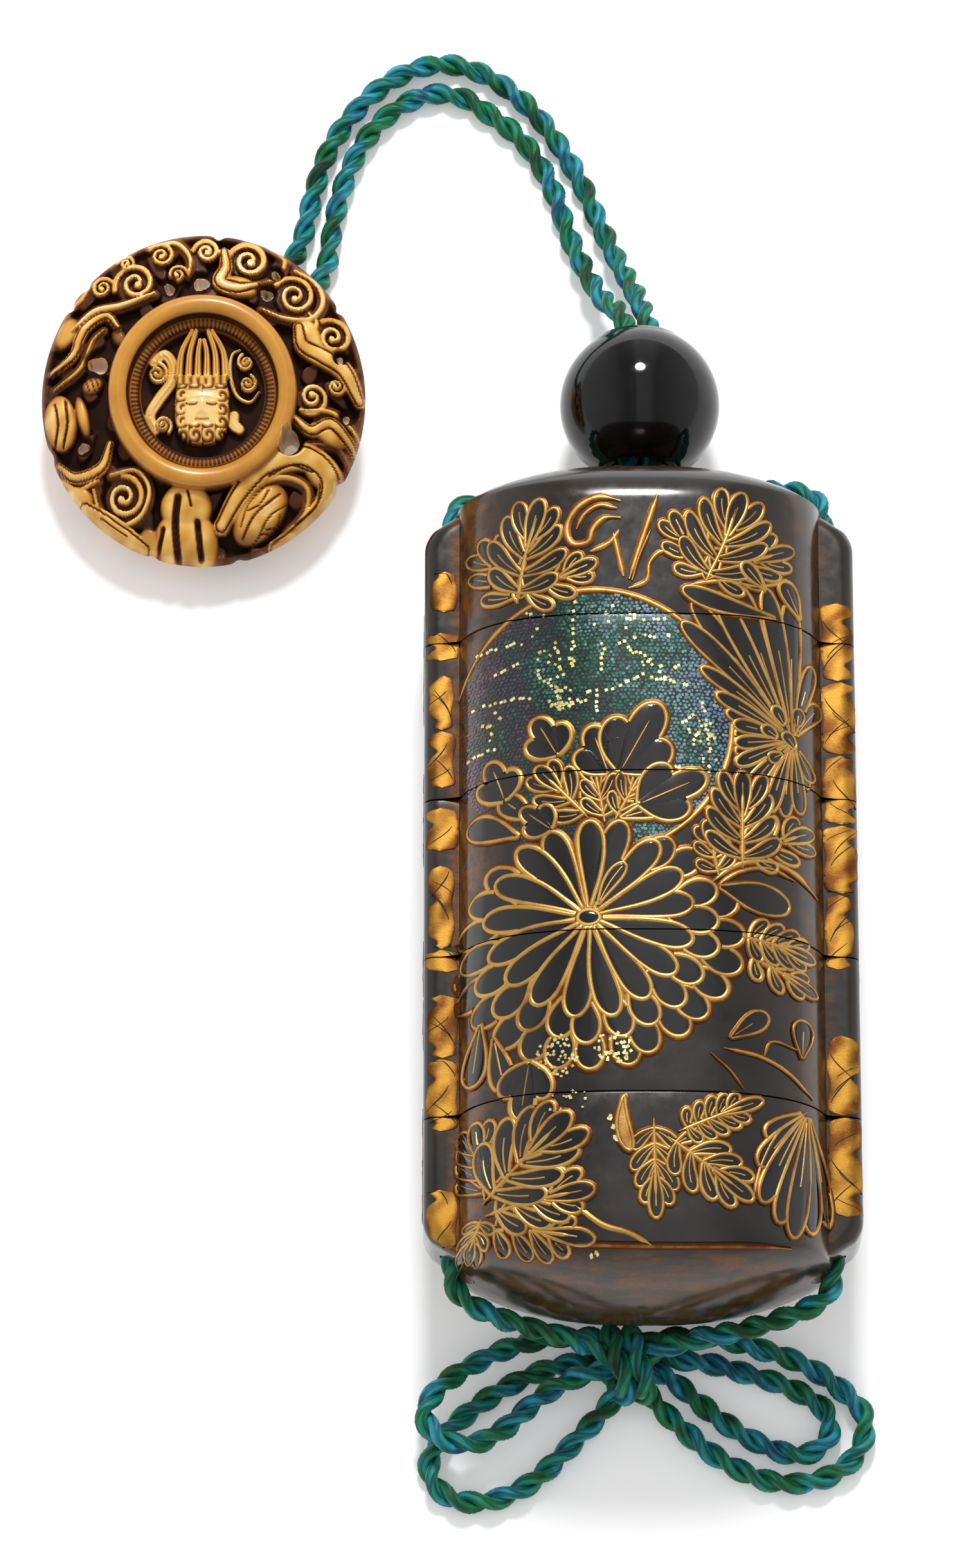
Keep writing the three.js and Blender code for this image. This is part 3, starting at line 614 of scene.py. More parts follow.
def gold_haze(n, place):
    """How much gold dust lies at a place, in metres: along the body's long edges and on its two domes."""
    x, y, _ = n.add("SeparateXYZ", {0: place}).outputs
    far = n.math("ABSOLUTE", x)
    edge = n.math("MULTIPLY", n.between(far, 0.0150, 0.0195), n.between(far, 0.0216, 0.0208))
    edge = n.math("MULTIPLY", edge, n.between(x, 0.045, -0.015))
    ends = n.math("MAXIMUM", n.between(y, -0.0446, -0.0456), n.between(y, 0.0455, 0.047))
    where = n.math("MAXIMUM", edge, n.math("MULTIPLY", ends, 0.62))
    drawn = n.add("VectorMath", {0: place, 1: (0.3, 1.0, 1.0)}, operation="MULTIPLY").outputs[0]
    blot = n.ramp(n.noise(drawn, 620.0, 4.0, 0.7), [(0.36, grey(0)), (0.62, grey(0.9))])
    dust = n.ramp(n.noise(place, 9000.0, 1.0, 0.5), [(0.4, grey(0.35)), (0.6, grey(1))])
    return n.math("MULTIPLY", n.math("MULTIPLY", where, blot), dust)


def lacquer_material(name, base, rough, warm, sprinkled=False):
    """Polished lacquer, clouded from its base colour to a warm one; sprinkled adds the gold dust."""
    n = Nodes(name)
    place = n.add("TexCoord").outputs["Object"]
    cloud = n.noise(place, 160.0, 3.0, 0.55)
    tone = n.ramp(cloud, [(0.3, base), (0.75, warm)])
    fine = n.noise(place, 1500.0, 2.0, 0.5)
    gloss = n.ramp(n.noise(place, 420.0, 4.0, 0.6), [(0.35, grey(rough * 0.75)), (0.7, grey(rough * 1.45))])
    metal = 0.0
    if sprinkled:
        haze = gold_haze(n, place)
        tone = n.mix(haze, tone, GOLD_DUST)
        metal = n.math("MULTIPLY", haze, 0.6)
    return n.finish(Base_Color=tone, Roughness=gloss, Metallic=metal, Coat_Weight=0.15, Coat_Roughness=0.12,
                    Normal=n.bump(fine, 0.06, 0.00004))


LACQUER = lacquer_material("lacquer", (0.0065, 0.006, 0.0045), 0.2, (0.019, 0.0115, 0.007), sprinkled=True)
SECTION_NODES = ("case_bottom", "case_3", "case_2", "case_1", "lid")


def build_case():
    cutters = [channel_cutter(-1), channel_cutter(1)]
    for index, node in enumerate(SECTION_NODES):
        obj = new_object("lacquered_" + node, *section_mesh(index), [LACQUER])
        fix_normals(obj.data)
        cut_away(obj, cutters, 38)
        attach(obj, "root")
        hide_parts(node)
    for cutter in cutters:
        bpy.data.objects.remove(cutter)


build_case()

# ---------------------------------------------------------------- bead

BEAD_RADIUS, BEAD_BORE, BEAD_MOUTH = 9.1, 2.85, 4.4


def bead_profile():
    """(radius, height) round the bead's section: over its outside, then down through its bore."""
    open_angle = math.asin(BEAD_MOUTH / BEAD_RADIUS)
    angles = np.linspace(open_angle + 0.05, math.pi - open_angle - 0.05, 60)[1:-1]
    outside = [(BEAD_RADIUS * math.sin(angle), -BEAD_RADIUS * math.cos(angle)) for angle in angles]
    mouth_y = BEAD_RADIUS * math.cos(open_angle)
    lip = [(BEAD_MOUTH + 0.18, mouth_y + 0.1), (BEAD_MOUTH - 0.1, mouth_y - 0.02),
           (BEAD_MOUTH - 0.5, mouth_y - 0.45), (BEAD_BORE + 0.3, mouth_y - 1.2), (BEAD_BORE, mouth_y - 1.8)]
    return outside + lip + [(BEAD_BORE, 0)] + [(r, -y) for r, y in lip[::-1]]


def jet_material():
    n = Nodes("jet")
    place = n.add("TexCoord").outputs["Object"]
    cloud = n.noise(place, 220.0, 3.0, 0.6)
    tone = n.ramp(cloud, [(0.3, (0.0018, 0.002, 0.0022)), (0.8, (0.006, 0.006, 0.0062))])
    scuff = n.noise(place, 900.0, 3.0, 0.6)
    rough = n.ramp(scuff, [(0.4, grey(0.055)), (0.75, grey(0.12))])
    return n.finish(Base_Color=tone, Roughness=rough, Specular_IOR_Level=0.3,
                    Normal=n.bump(scuff, 0.03, 0.00003))


def build_bead():
    profile, sides = bead_profile(), 96
    angle = np.linspace(0, 2 * math.pi, sides, endpoint=False)
    rings = [BEAD_CENTRE + np.stack([radius * np.sin(angle), np.full(sides, y), radius * np.cos(angle)], 1)
             for radius, y in profile]
    verts = np.vstack(rings)
    verts[:, 2] = np.maximum(verts[:, 2], 0)
    faces = []
    for r in range(len(rings)):
        row, next_row = r * sides, (r + 1) % len(rings) * sides
        for k in range(sides):
            after = (k + 1) % sides
            faces.append((row + k, row + after, next_row + after, next_row + k))
    obj = new_object("bead", verts, faces, [jet_material()])
    fix_normals(obj.data)
    shade_smooth(obj.data)
    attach(obj, "root")
    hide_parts("ojime_bead")


build_bead()

# ---------------------------------------------------------------- lacquer work on the case

UNDER = -0.06                     # how far raised work is sunk into the lacquer, in mm


def surface(x, y):
    """Points of the case's front over plan places x, y."""
    a, b = half_sizes(y)
    body = b * np.maximum(1 - np.abs(x / a) ** OVAL_POWER, 0) ** (1 / OVAL_POWER)
    reach, edge = runner_reach(y)
    over = np.clip((np.abs(x) - (reach - edge)) / np.maximum(edge, 1e-6), 0, 1)
    runner = RUNNER_HALF_DEPTH - RUNNER_EDGE + RUNNER_EDGE * np.sqrt(1 - over ** 2)
    runner = np.where(np.abs(x) < reach, runner, 0)
    return np.stack([x, y, MID_Z + np.maximum(body, runner)], -1)


def surface_normal(x, y):
    d = 0.03
    x = np.clip(x, -23.9, 23.9)
    along_x = surface(x + d, y) - surface(x - d, y)
    along_y = surface(x, y + d) - surface(x, y - d)
    return unit(np.cross(along_x, along_y))


class Inlay:
    """Collects closed little solids, with a material and a tone each, for one mesh."""

    def __init__(self):
        self.verts, self.faces, self.kinds, self.tones = [], [], [], []
        self.count = 0

    def solid(self, grid, kind, tone=0.5, closed=False, shades=0.0):
        """grid is stations x section points x 3; the section is always a closed ring."""
        n, m = grid.shape[:2]
        base = self.count
        self.verts.append(grid.reshape(-1, 3))
        # Each point's tone is the shape's tone plus the section's painted shade, darker on the flanks and
        # lighter on the crest.
        self.tones.append(np.broadcast_to(np.reshape(tone, (-1, 1)) + shades, (n, m)).reshape(-1))
        self.count += n * m
        i = np.arange(n if closed else n - 1)[:, None]
        k = np.arange(m)[None, :]
        ahead = (i + 1) % n
        right = (k + 1) % m
        quads = np.stack([i * m + k, i * m + right, ahead * m + right, ahead * m + k], -1).reshape(-1, 4)
        quads = (quads + base).tolist()
        self.faces.extend(quads)
        self.kinds.extend([kind] * len(quads))
        if not closed:
            self.faces.append([base + q for q in range(m)][::-1])
            self.faces.append([base + (n - 1) * m + q for q in range(m)])
            self.kinds.extend([kind, kind])


GOLD, FILL, PEARL, FLECK, LEAF_GOLD = range(5)    # places in WORK_MATERIALS
# Sections of strips: share of the half width, and share of the height or UNDER.
RIDGE = ((-2.1, UNDER), (-2.1, 0.2), (-1.15, 0.34), (-0.5, 1.0), (0.5, 1.0), (1.15, 0.34), (2.1, 0.2),
         (2.1, UNDER))
# Painted shade for each point of RIDGE: dark on the flanks and skirt, a painted highlight on the crest.
RIDGE_PAINTED_SHADING = np.array((-1.0, -1.0, -0.55, 0.16, 0.16, -0.55, -1.0, -1.0))
VEIN = ((-1, UNDER), (-1, 0.45), (-0.5, 1.0), (0.5, 1.0), (1, 0.45), (1, UNDER))
PLATE = ((-1, UNDER), (-1, 0.7), (-0.9, 1.0), (-0.3, 1.0), (0.3, 1.0), (0.9, 1.0), (1, 0.7), (1, UNDER))


def drape(inlay, line, half, height, section, kind, tone=0.5, closed=False, level=0.0):
    """Lays a strip of the given section along plan places `line`, following the case's surface."""
    line = np.asarray(line, float)
    half = np.broadcast_to(np.asarray(half, float), len(line))
    step = np.roll(line, -1, 0) - np.roll(line, 1, 0) if closed else np.gradient(line, axis=0)
    point = surface(line[:, 0], line[:, 1])
    normal = surface_normal(line[:, 0], line[:, 1])
    step3 = np.concatenate([step, np.zeros((len(step), 1))], 1)
    tangent = unit(step3 - (step3 * normal).sum(1, keepdims=True) * normal)
    across = np.cross(normal, tangent)
    rows = []
    for c, h in section:
        at = point + (c * half)[:, None] * across
        x = np.clip(at[:, 0], -23.95, 23.95)
        foot = surface(x, at[:, 1])
        up = surface_normal(x, at[:, 1])
        lift = UNDER if h == UNDER else level + h * height
        rows.append(foot + lift * up)
    inlay.solid(np.stack(rows, 1), kind, tone, closed, RIDGE_PAINTED_SHADING if section is RIDGE else 0.0)


def even_plan(line, step, closed=False):
    """A plan line, or a closed loop, with points about `step` mm apart."""
    line = np.asarray(line, float)
    if closed:
        line = np.vstack([line, line[:1]])
    return evenly(line, max(6 if closed else 3, steps_along(line, step) + 1), endpoint=not closed)


LINE_STEP, PLATE_HEIGHT = 0.4, 0.08
ROW_PITCH, PETAL_LENGTH = 2.9, 5.4    # of the chrysanthemum


class Work:
    """Shapes in order from lowest to highest; lines are left out where a higher shape covers them."""

    def __init__(self):
        self.shapes = []
        self.group = 0

    def together(self):
        """Starts a new leaf, whose lobes join into one outline."""
        self.group += 1
        return self.group

    def stroke(self, points, half=0.17, height=0.12, tone=0.5):
        """A line on its own, thin at both ends."""
        line = catmull(points, 0.45)
        share = np.linspace(0, 1, len(line))
        ends = np.clip(np.minimum(share, 1 - share) * 8, 0.35, 1)
        self.shapes.append({"lines": [(line, half * ends, height, False)], "outline": None,
                            "tone": tone + 0.3 * (rng.random() - 0.5), "group": None})

    def petal(self, base, tip, width, bend=0.0, widest=0.7, line=0.2, vein=0.0, tone=0.5, fill=FILL,
              group=None, neck=0.12):
        """A petal or leaf lobe: a low plate, a gold line round it and a vein up to the share `vein`."""
        spine, half, loop = petal_outline(base, tip, width, bend, widest, neck)
        lines = [(even_plan(loop, LINE_STEP, closed=True), line, PLATE_HEIGHT + 0.1, True)]
        if vein:
            keep = spine[int(len(spine) * 0.08):max(4, int(len(spine) * vein))]
            lines.append((even_plan(keep, 0.6), line * 0.55, PLATE_HEIGHT + 0.06, False))
        self.shapes.append({"lines": lines, "outline": loop, "plate": (spine, half, PLATE_HEIGHT, fill),
                            "tone": tone + 0.35 * (rng.random() - 0.5), "group": group})

    def leaf(self, base, tip, spread, lobes=3, width=1.7, bend=0.0, line=0.17, angles=(64, 30)):
        """A lobed leaf: pairs of fingers off a midrib, the lowest drawn first, and one at its tip."""
        base, tip = np.asarray(base, float), np.asarray(tip, float)
        along = tip - base
        size = np.linalg.norm(along)
        along /= size
        across = np.array([-along[1], along[0]])

        def rib(s):
            return base + s * size * along + bend * size * math.sin(math.pi * s) * across

        for k in range(lobes):
            share = k / max(1, lobes - 1)
            angle = math.radians(angles[0] + (angles[1] - angles[0]) * share)
            reach = spread * (0.85 + 0.4 * math.sin(math.pi * (0.2 + 0.55 * share)))
            for hand in (1, -1):
                wobble = 1 + 0.16 * (rng.random() - 0.5)
                turn = angle + 0.12 * (rng.random() - 0.5)
                direction = math.cos(turn) * along + hand * math.sin(turn) * across
                start = rib(0.06 + 0.5 * share)
                self.petal(start, start + reach * wobble * direction, width, bend=0.08 * hand, widest=0.68,
                           line=line, vein=0.62, neck=0.3)
        self.petal(rib(0.5), rib(0.5) + 0.5 * size * along, width * 1.15, widest=0.66, line=line, vein=0.62,
                   neck=0.3)
        self.stroke([rib(t) for t in np.linspace(-0.06, 0.8, 6)], line * 1.1, 0.19, 0.65)

    def lobed_leaf(self, base, tip, width):
        """A small rounded leaf of three lobes with a notch between each."""
        base, tip = np.asarray(base, float), np.asarray(tip, float)
        along = tip - base
        across = np.array([-along[1], along[0]]) / np.linalg.norm(along)
        group = self.together()
        for hand in (1, -1):
            self.petal(base + 0.02 * along, base + 0.62 * along + hand * 0.55 * width * across, 0.66 * width,
                       bend=0.12 * hand, widest=0.66, line=0.21, tone=0.6, group=group, neck=0.3)
        self.petal(base + 0.02 * along, tip, 0.74 * width, widest=0.68, line=0.21, tone=0.6, group=group,
                   neck=0.3)
        self.stroke([base + share * along for share in (0.05, 0.45, 0.75)], 0.1, tone=0.4)

    def chrysanthemum(self, centre, outer_centre, outer, inner, counts, widths, start=0.0):
        """Rings of spoon petals round a button, filling an oval of half sizes `outer`."""
        centre = np.asarray(centre, float)
        offset = centre - np.asarray(outer_centre, float)
        scale = 1 / np.asarray(outer)

        def edge(angle):
            """Distance from the button to the outer oval."""
            d = np.array([math.cos(angle), math.sin(angle)])
            a = ((d * scale) ** 2).sum()
            b = 2 * (d * offset * scale ** 2).sum()
            c = ((offset * scale) ** 2).sum() - 1
            return (-b + math.sqrt(b * b - 4 * a * c)) / (2 * a)

        for row in range(len(counts) - 1, -1, -1):
            for k in range(counts[row]):
                angle = start + (k + 0.5 * (row % 2)) * 2 * math.pi / counts[row]
                angle += 0.07 * (rng.random() - 0.5)
                limit = edge(angle)
                full = inner + ROW_PITCH * row
                reach = min(full, limit) * (1 + 0.04 * (rng.random() - 0.5))
                if row and reach < full - 1.9:
                    continue
                d = np.array([math.cos(angle), math.sin(angle)])
                from_radius = 1.1 if row == 0 else reach - PETAL_LENGTH
                self.petal(centre + from_radius * d, centre + reach * d, widths[row],
                           bend=0.06 * (rng.random() - 0.5), widest=(0.76, 0.62, 0.6, 0.6)[row],
                           line=0.235, tone=0.5)
        ring = [(centre[0] + 1.2 * math.cos(t), centre[1] + 0.85 * math.sin(t))
                for t in np.linspace(0, 2 * math.pi, 25)[:-1]]
        cap = np.array([(centre[0] + u, centre[1]) for u in np.linspace(-1.1, 1.1, 9)])
        half = 0.8 * np.sqrt(np.maximum(1 - ((cap[:, 0] - centre[0]) / 1.15) ** 2, 0.02))
        button = [(even_plan(ring, 0.3, closed=True), 0.22, 0.3, True)]
        self.shapes.append({"lines": button, "outline": np.array(ring), "plate": (cap, half, 0.22, FILL),
                            "tone": 0.9, "group": None})

    def fan(self, centre, petals, width):
        """Long petals given as (direction in degrees, length), from one point."""
        c = np.asarray(centre, float)
        for degrees, reach in petals:
            d = np.array([math.cos(math.radians(degrees)), math.sin(math.radians(degrees))])
            self.petal(c + 0.8 * d, c + reach * d, width, widest=0.76, line=0.18, vein=0.6,
                       bend=0.04 * (rng.random() - 0.5))

    def covered(self, points, above=-1, group=None):
        """Which plan points lie inside a shape above the given place in the order."""
        hit = np.zeros(len(points), bool)
        for index, shape in enumerate(self.shapes):
            outline = shape["outline"]
            if outline is None:
                continue
            own = group is not None and shape["group"] == group
            if index == above or (index < above and not own):
                continue
            low, high = outline.min(0), outline.max(0)
            near = ((points > low) & (points < high)).all(1) & ~hit
            if near.any():
                hit[near] = inside(points[near], outline)
        return hit

    def emit(self, inlay):
        """Lays every plate, and of every line what no higher shape covers, on the case."""
        for index, shape in enumerate(self.shapes):
            lift = 0.0004 * index
            if shape["outline"] is not None:
                spine, half, plate, fill = shape["plate"]
                drape(inlay, spine, half, plate, PLATE, fill, level=lift)
            for line, half, height, closed in shape["lines"]:
                half = np.broadcast_to(np.asarray(half, float), len(line))
                free = ~self.covered(line, index, shape["group"])
                if closed and free.all():
                    drape(inlay, line, half, height, RIDGE, GOLD, shape["tone"], True, lift)
                    continue
                if closed:
                    shift = int(np.argmin(free))
                    line, half, free = (np.roll(v, -shift, 0) for v in (line, half, free))
                for first, last in runs(free):
                    drape(inlay, line[first:last], half[first:last], height, RIDGE, GOLD, shape["tone"],
                          False, lift)


def inside(points, outline):
    """Which plan points lie inside a closed outline, by the even-odd rule."""
    x, y = points[:, 0:1], points[:, 1:2]
    x0, y0 = outline[:, 0], outline[:, 1]
    x1, y1 = np.roll(x0, -1), np.roll(y0, -1)
    spans = (y0 > y) != (y1 > y)
    with np.errstate(divide="ignore", invalid="ignore"):
        crossing = x0 + (y - y0) / (y1 - y0) * (x1 - x0)
    return ((spans & (x < crossing)).sum(1) % 2).astype(bool)


def runs(flags):
    """(first, past last) of each stretch of three or more True."""
    edges = np.flatnonzero(np.diff(np.concatenate([[0], flags.astype(int), [0]])))
    return [(first, last) for first, last in zip(edges[::2], edges[1::2]) if last - first >= 3]


rng = random.Random(11)


def petal_outline(base, tip, width, bend=0.0, widest=0.7, neck=0.12):
    """Spine, half widths and closed outline of a spoon-shaped petal."""
    base, tip = np.asarray(base, float), np.asarray(tip, float)
    along = tip - base
    size = np.linalg.norm(along)
    along /= size
    across = np.array([-along[1], along[0]])
    t1 = np.linspace(0, widest, max(5, int(size / 0.8)), endpoint=False)
    t2 = widest + (1 - widest) * np.sin(np.linspace(0, math.pi / 2, 7))
    t = np.concatenate([t1, t2])
    rise = neck + (1 - neck) * np.sin(0.5 * math.pi * np.clip(t / widest, 0, 1)) ** 1.25
    f = np.where(t <= widest, rise, np.sqrt(np.maximum(1 - ((t - widest) / (1 - widest)) ** 2, 0)))
    half = 0.5 * width * f
    spine = base + (t * size)[:, None] * along + (bend * size * np.sin(math.pi * t))[:, None] * across
    turn = unit(np.gradient(spine, axis=0))
    normal = np.stack([-turn[:, 1], turn[:, 0]], 1)
    left = spine + half[:, None] * normal
    right = spine - half[:, None] * normal
    return spine, half, np.vstack([left, right[::-1][1:]])


CHIP_LIMIT_X, CHIP_LIMIT_Y = 20.0, 46


def chip(inlay, x, y, size, turn, height, kind, tone, corners=4):
    """A small cut chip set in the lacquer."""
    jitter = 0.25 * np.array([rng.random() for _ in range(corners)])
    angles = turn + 2 * math.pi * (np.arange(corners) + jitter) / corners
    cx, cy = x + size * np.cos(angles), y + size * np.sin(angles)
    if np.abs(cx).max() > CHIP_LIMIT_X or np.abs(cy).max() > CHIP_LIMIT_Y:
        return
    low = surface(cx, cy)
    up = surface_normal(np.array([x]), np.array([y]))
    inlay.solid(np.stack([low + UNDER * up, low + height * up], 0), kind, tone)


def flecks(inlay, cx, cy, rx, ry, count, height=0.22, size=0.2):
    """Gold chips strewn over an oval."""
    for _ in range(count):
        t, r = rng.random() * 2 * math.pi, math.sqrt(rng.random())
        chip(inlay, cx + rx * r * math.cos(t), cy + ry * r * math.sin(t), size * (0.7 + 0.6 * rng.random()),
             rng.random() * 3, height, FLECK, rng.random())


DISC_CENTRE, DISC_RADIUS = np.array([-5.6, 14.8]), 15.6
DISC_MARGIN, DISC_LEFT_END = 0.35, -19.7
CHIP_PITCH, CHIP_HEIGHT, SQUARE_HEIGHT = 0.46, 0.045, 0.085
# Ends of the disc's streams of gold squares.
STREAMS = (
    ((-7.4, 29), (-7.6, 20.5)), ((-18, 24.4), (-13.5, 24.8)), ((-18.6, 18.3), (-12, 18.2)),
    ((-11.5, 20.8), (-8.6, 18.4)), ((-9.8, 17.2), (-5.2, 17.4)), ((-3.8, 18.4), (0.5, 20.6)),
    ((1, 20), (5.6, 19)), ((-1.8, 26.8), (2.8, 27)), ((6.6, 17.2), (7.6, 11)), ((-2.6, 24), (1.4, 22)),
    ((-19, 12.6), (-15.4, 13)), ((4.4, 14.6), (6, 16)), ((-16, 21.5), (-12.6, 22.6)),
    ((-4.4, 21), (-4.0, 25.4)), ((2.6, 9.6), (6.6, 9.2)), ((-9.6, 24.6), (-8.6, 20.2)),
    ((-9.4, 19.2), (-8.8, 16.2)), ((-7.2, 18.6), (-4.6, 18.4)), ((-4.9, 18.0), (-5.0, 15.6)),
)
# Patches of gold squares on the disc: x, y, radius and number.
PATCHES = ((-8.6, 17.6, 1.6, 18), (6.6, 13.5, 1.6, 18), (7.2, 10, 1.4, 10), (-2.4, 26, 3, 12),
           (-9.5, 22, 2.2, 12), (2, 22.5, 3, 14), (-16.5, 16, 2, 8), (-12, 26, 3, 7))


def pearl_disc(inlay, work):
    """Shell mosaic: rows of small chips in a round field, with gold squares along its streams."""
    places = []
    for row in range(-40, 41):
        for column in range(-40, 41):
            across = (column + 0.5 * (row % 2) + 0.5 * (rng.random() - 0.5)) * CHIP_PITCH
            up = (row + 0.5 * (rng.random() - 0.5)) * CHIP_PITCH * 0.9
            in_disc = math.hypot(across, up) < DISC_RADIUS - DISC_MARGIN
            if in_disc and DISC_CENTRE[0] + across > DISC_LEFT_END:
                places.append(DISC_CENTRE + (across, up))
    places = np.array(places)
    for x, y in places[~work.covered(places)]:
        wave = math.sin(0.55 * x + 1.3) * math.cos(0.42 * y + 0.4 * x * 0.5)
        tone = 0.44 + 0.024 * (x + 6) + 0.16 * wave + 0.5 * (rng.random() - 0.5) ** 3 * 4
        chip(inlay, x, y, 0.17 + 0.06 * rng.random(), rng.random() * 3, CHIP_HEIGHT, PEARL,
             min(max(tone, 0), 1), rng.choice((4, 5)))
    for (x0, y0), (x1, y1) in STREAMS:
        number = int(math.hypot(x1 - x0, y1 - y0) / 0.5)
        for k in range(number):
            if rng.random() < 0.18:
                continue
            t = (k + 0.3 * rng.random()) / number
            chip(inlay, x0 + t * (x1 - x0) + 0.3 * (rng.random() - 0.5),
                 y0 + t * (y1 - y0) + 0.3 * (rng.random() - 0.5), 0.235, 0.8 + 0.2 * rng.random(),
                 SQUARE_HEIGHT, FLECK, rng.random())
    for x, y, r, number in PATCHES:
        flecks(inlay, x, y, r, r, number, SQUARE_HEIGHT, 0.22)
    t = np.linspace(math.radians(-66), math.radians(158), 90)
    ring = even_plan(DISC_CENTRE + DISC_RADIUS * np.stack([np.cos(t), np.sin(t)], 1), 0.5)
    for first, last in runs(~work.covered(ring)):
        drape(inlay, ring[first:last], 0.2, 0.13, RIDGE, GOLD)


def front_work():
    """Everything laid on the case, from the lowest shape to the highest."""
    inlay, work = Inlay(), Work()
    # Half flower at the right, its petals running over the shoulder of the case.
    work.fan((16.6, 14.0), [(90, 16.5), (108, 18), (126, 18.6), (99, 17.5), (117, 18.2), (134, 17.4)], 2.2)
    work.fan((16.6, 14.0), [(144, 12.4), (163, 7.6), (182, 6.4), (201, 6.8), (222, 8), (243, 9), (264, 9.2),
                            (286, 5.4), (60, 6.4), (76, 10), (153, 9.4), (172, 6.6), (192, 6.5), (211, 7.3),
                            (233, 8.6), (254, 9.2), (275, 8.4), (298, 4.6)], 1.55)
    for dx, dy, length, degrees in ((-2.0, 0.6, 1.9, 150), (-1.2, 2.2, 2.3, 118), (0.3, 2.5, 2.1, 84),
                                    (-1.5, -1.3, 1.7, 214), (0.0, -0.2, 2.0, 128)):
        foot = (16.9 + dx, 13.4 + dy)
        turn = math.radians(degrees)
        tip = (foot[0] + length * math.cos(turn), foot[1] + length * math.sin(turn))
        work.petal(foot, tip, 1.35, widest=0.6, neck=0.4, line=0.16, vein=0.5)
    # Great chrysanthemum in the middle of the front.
    work.chrysanthemum((-5.9, -7.8), (-4.8, -11.4), (16.0, 14.6), 11.4, (17, 24, 30), (2.9, 3.1, 3.2), 0.12)
    work.petal((-4.9, -6.4), (-1.9, -1.6), 1.6, bend=0.05, line=0.16, vein=0.8, tone=0.7)
    # Leaves between the disc and the chrysanthemum.
    work.leaf((-6.2, 4.0), (-11.6, 9.9), 3.0, width=1.5, angles=(50, 28))
    work.leaf((-4.2, 3.6), (-5.4, 10.6), 2.6, width=1.25, angles=(44, 24))
    work.leaf((-2.8, 3.8), (0.4, 9.8), 2.4, width=1.1, angles=(44, 24))
    work.petal((-2.4, 3.6), (3.6, 5.4), 2.2, vein=0.7)
    work.lobed_leaf((-9.3, 11.2), (-11.7, 15.6), 3.4)
    work.lobed_leaf((-3.7, 8.9), (-5.6, 14.3), 4.0)
    work.lobed_leaf((-2.4, 9.0), (1.9, 16.9), 5.2)
    work.lobed_leaf((-0.4, 5.2), (7.0, 8.6), 4.2)
    work.petal((-13.6, 2.2), (-19.0, 4.6), 2.9)
    work.petal((-12.0, 3.8), (-15.4, 6.8), 2.6, vein=0.6)
    work.lobed_leaf((-15.0, 6.6), (-16.6, 11.4), 3.0)
    work.lobed_leaf((-10.0, 2.6), (-13.2, 5.2), 2.6)
    # Lid: two leaves, a curled bud and bare stems.
    work.leaf((-13.8, 29.9), (-17.6, 38.0), 3.4, width=1.5, angles=(56, 30))
    work.leaf((-12.9, 30.2), (-4.9, 33.8), 2.9, width=1.4, angles=(56, 30))
    work.leaf((-13.5, 30.2), (-10.6, 41.4), 4.4, lobes=4, width=1.7, bend=0.04, angles=(58, 26))
    work.leaf((6.9, 32.0), (3.5, 39.6), 3.0, width=1.4, angles=(56, 30))
    work.leaf((7.8, 31.9), (17.0, 36.6), 3.2, lobes=4, width=1.4, angles=(56, 30))
    work.leaf((7.3, 31.8), (11.0, 42.4), 4.8, lobes=4, width=1.65, bend=-0.04, angles=(58, 26))
    work.stroke([(-2.2, 40.9), (-4.6, 41.4), (-7.0, 40.2), (-8.2, 37.8), (-7.6, 35.9), (-5.8, 36.1),
                 (-5.3, 37.6), (-4.0, 38.9), (-2.2, 38.9)], 0.24)
    work.stroke([(-2.6, 40.0), (-4.6, 40.4), (-6.3, 39.3), (-7.1, 37.6)], 0.18)
    work.stroke([(-5.6, 34.9), (-3.4, 36.0), (-2.4, 37.4)], 0.18)
    work.stroke([(-1.3, 31.6), (0.2, 36.4), (1.9, 41.6)], 0.22)
    work.stroke([(-1.0, 31.4), (-0.2, 34.2), (1.1, 37.4)], 0.12, tone=0.3)
    work.stroke([(-1.9, 31.9), (-2.4, 34.2), (-3.0, 37.0)], 0.18)
    work.stroke([(-1.4, 30.5), (0.6, 31.4), (1.0, 33.6), (2.3, 34.9), (4.0, 34.2)], 0.15, tone=0.9)
    work.stroke([(5.0, 30.9), (9.0, 31.6), (13.0, 31.4), (17.0, 33.0)], 0.17)
    work.petal((13.8, 31.0), (11.3, 34.0), 1.6, vein=0.6)
    work.petal((17.6, 28.6), (15.8, 32.6), 2.0, vein=0.6)
    work.petal((14.8, 27.9), (4.6, 30.5), 2.1, bend=0.05)
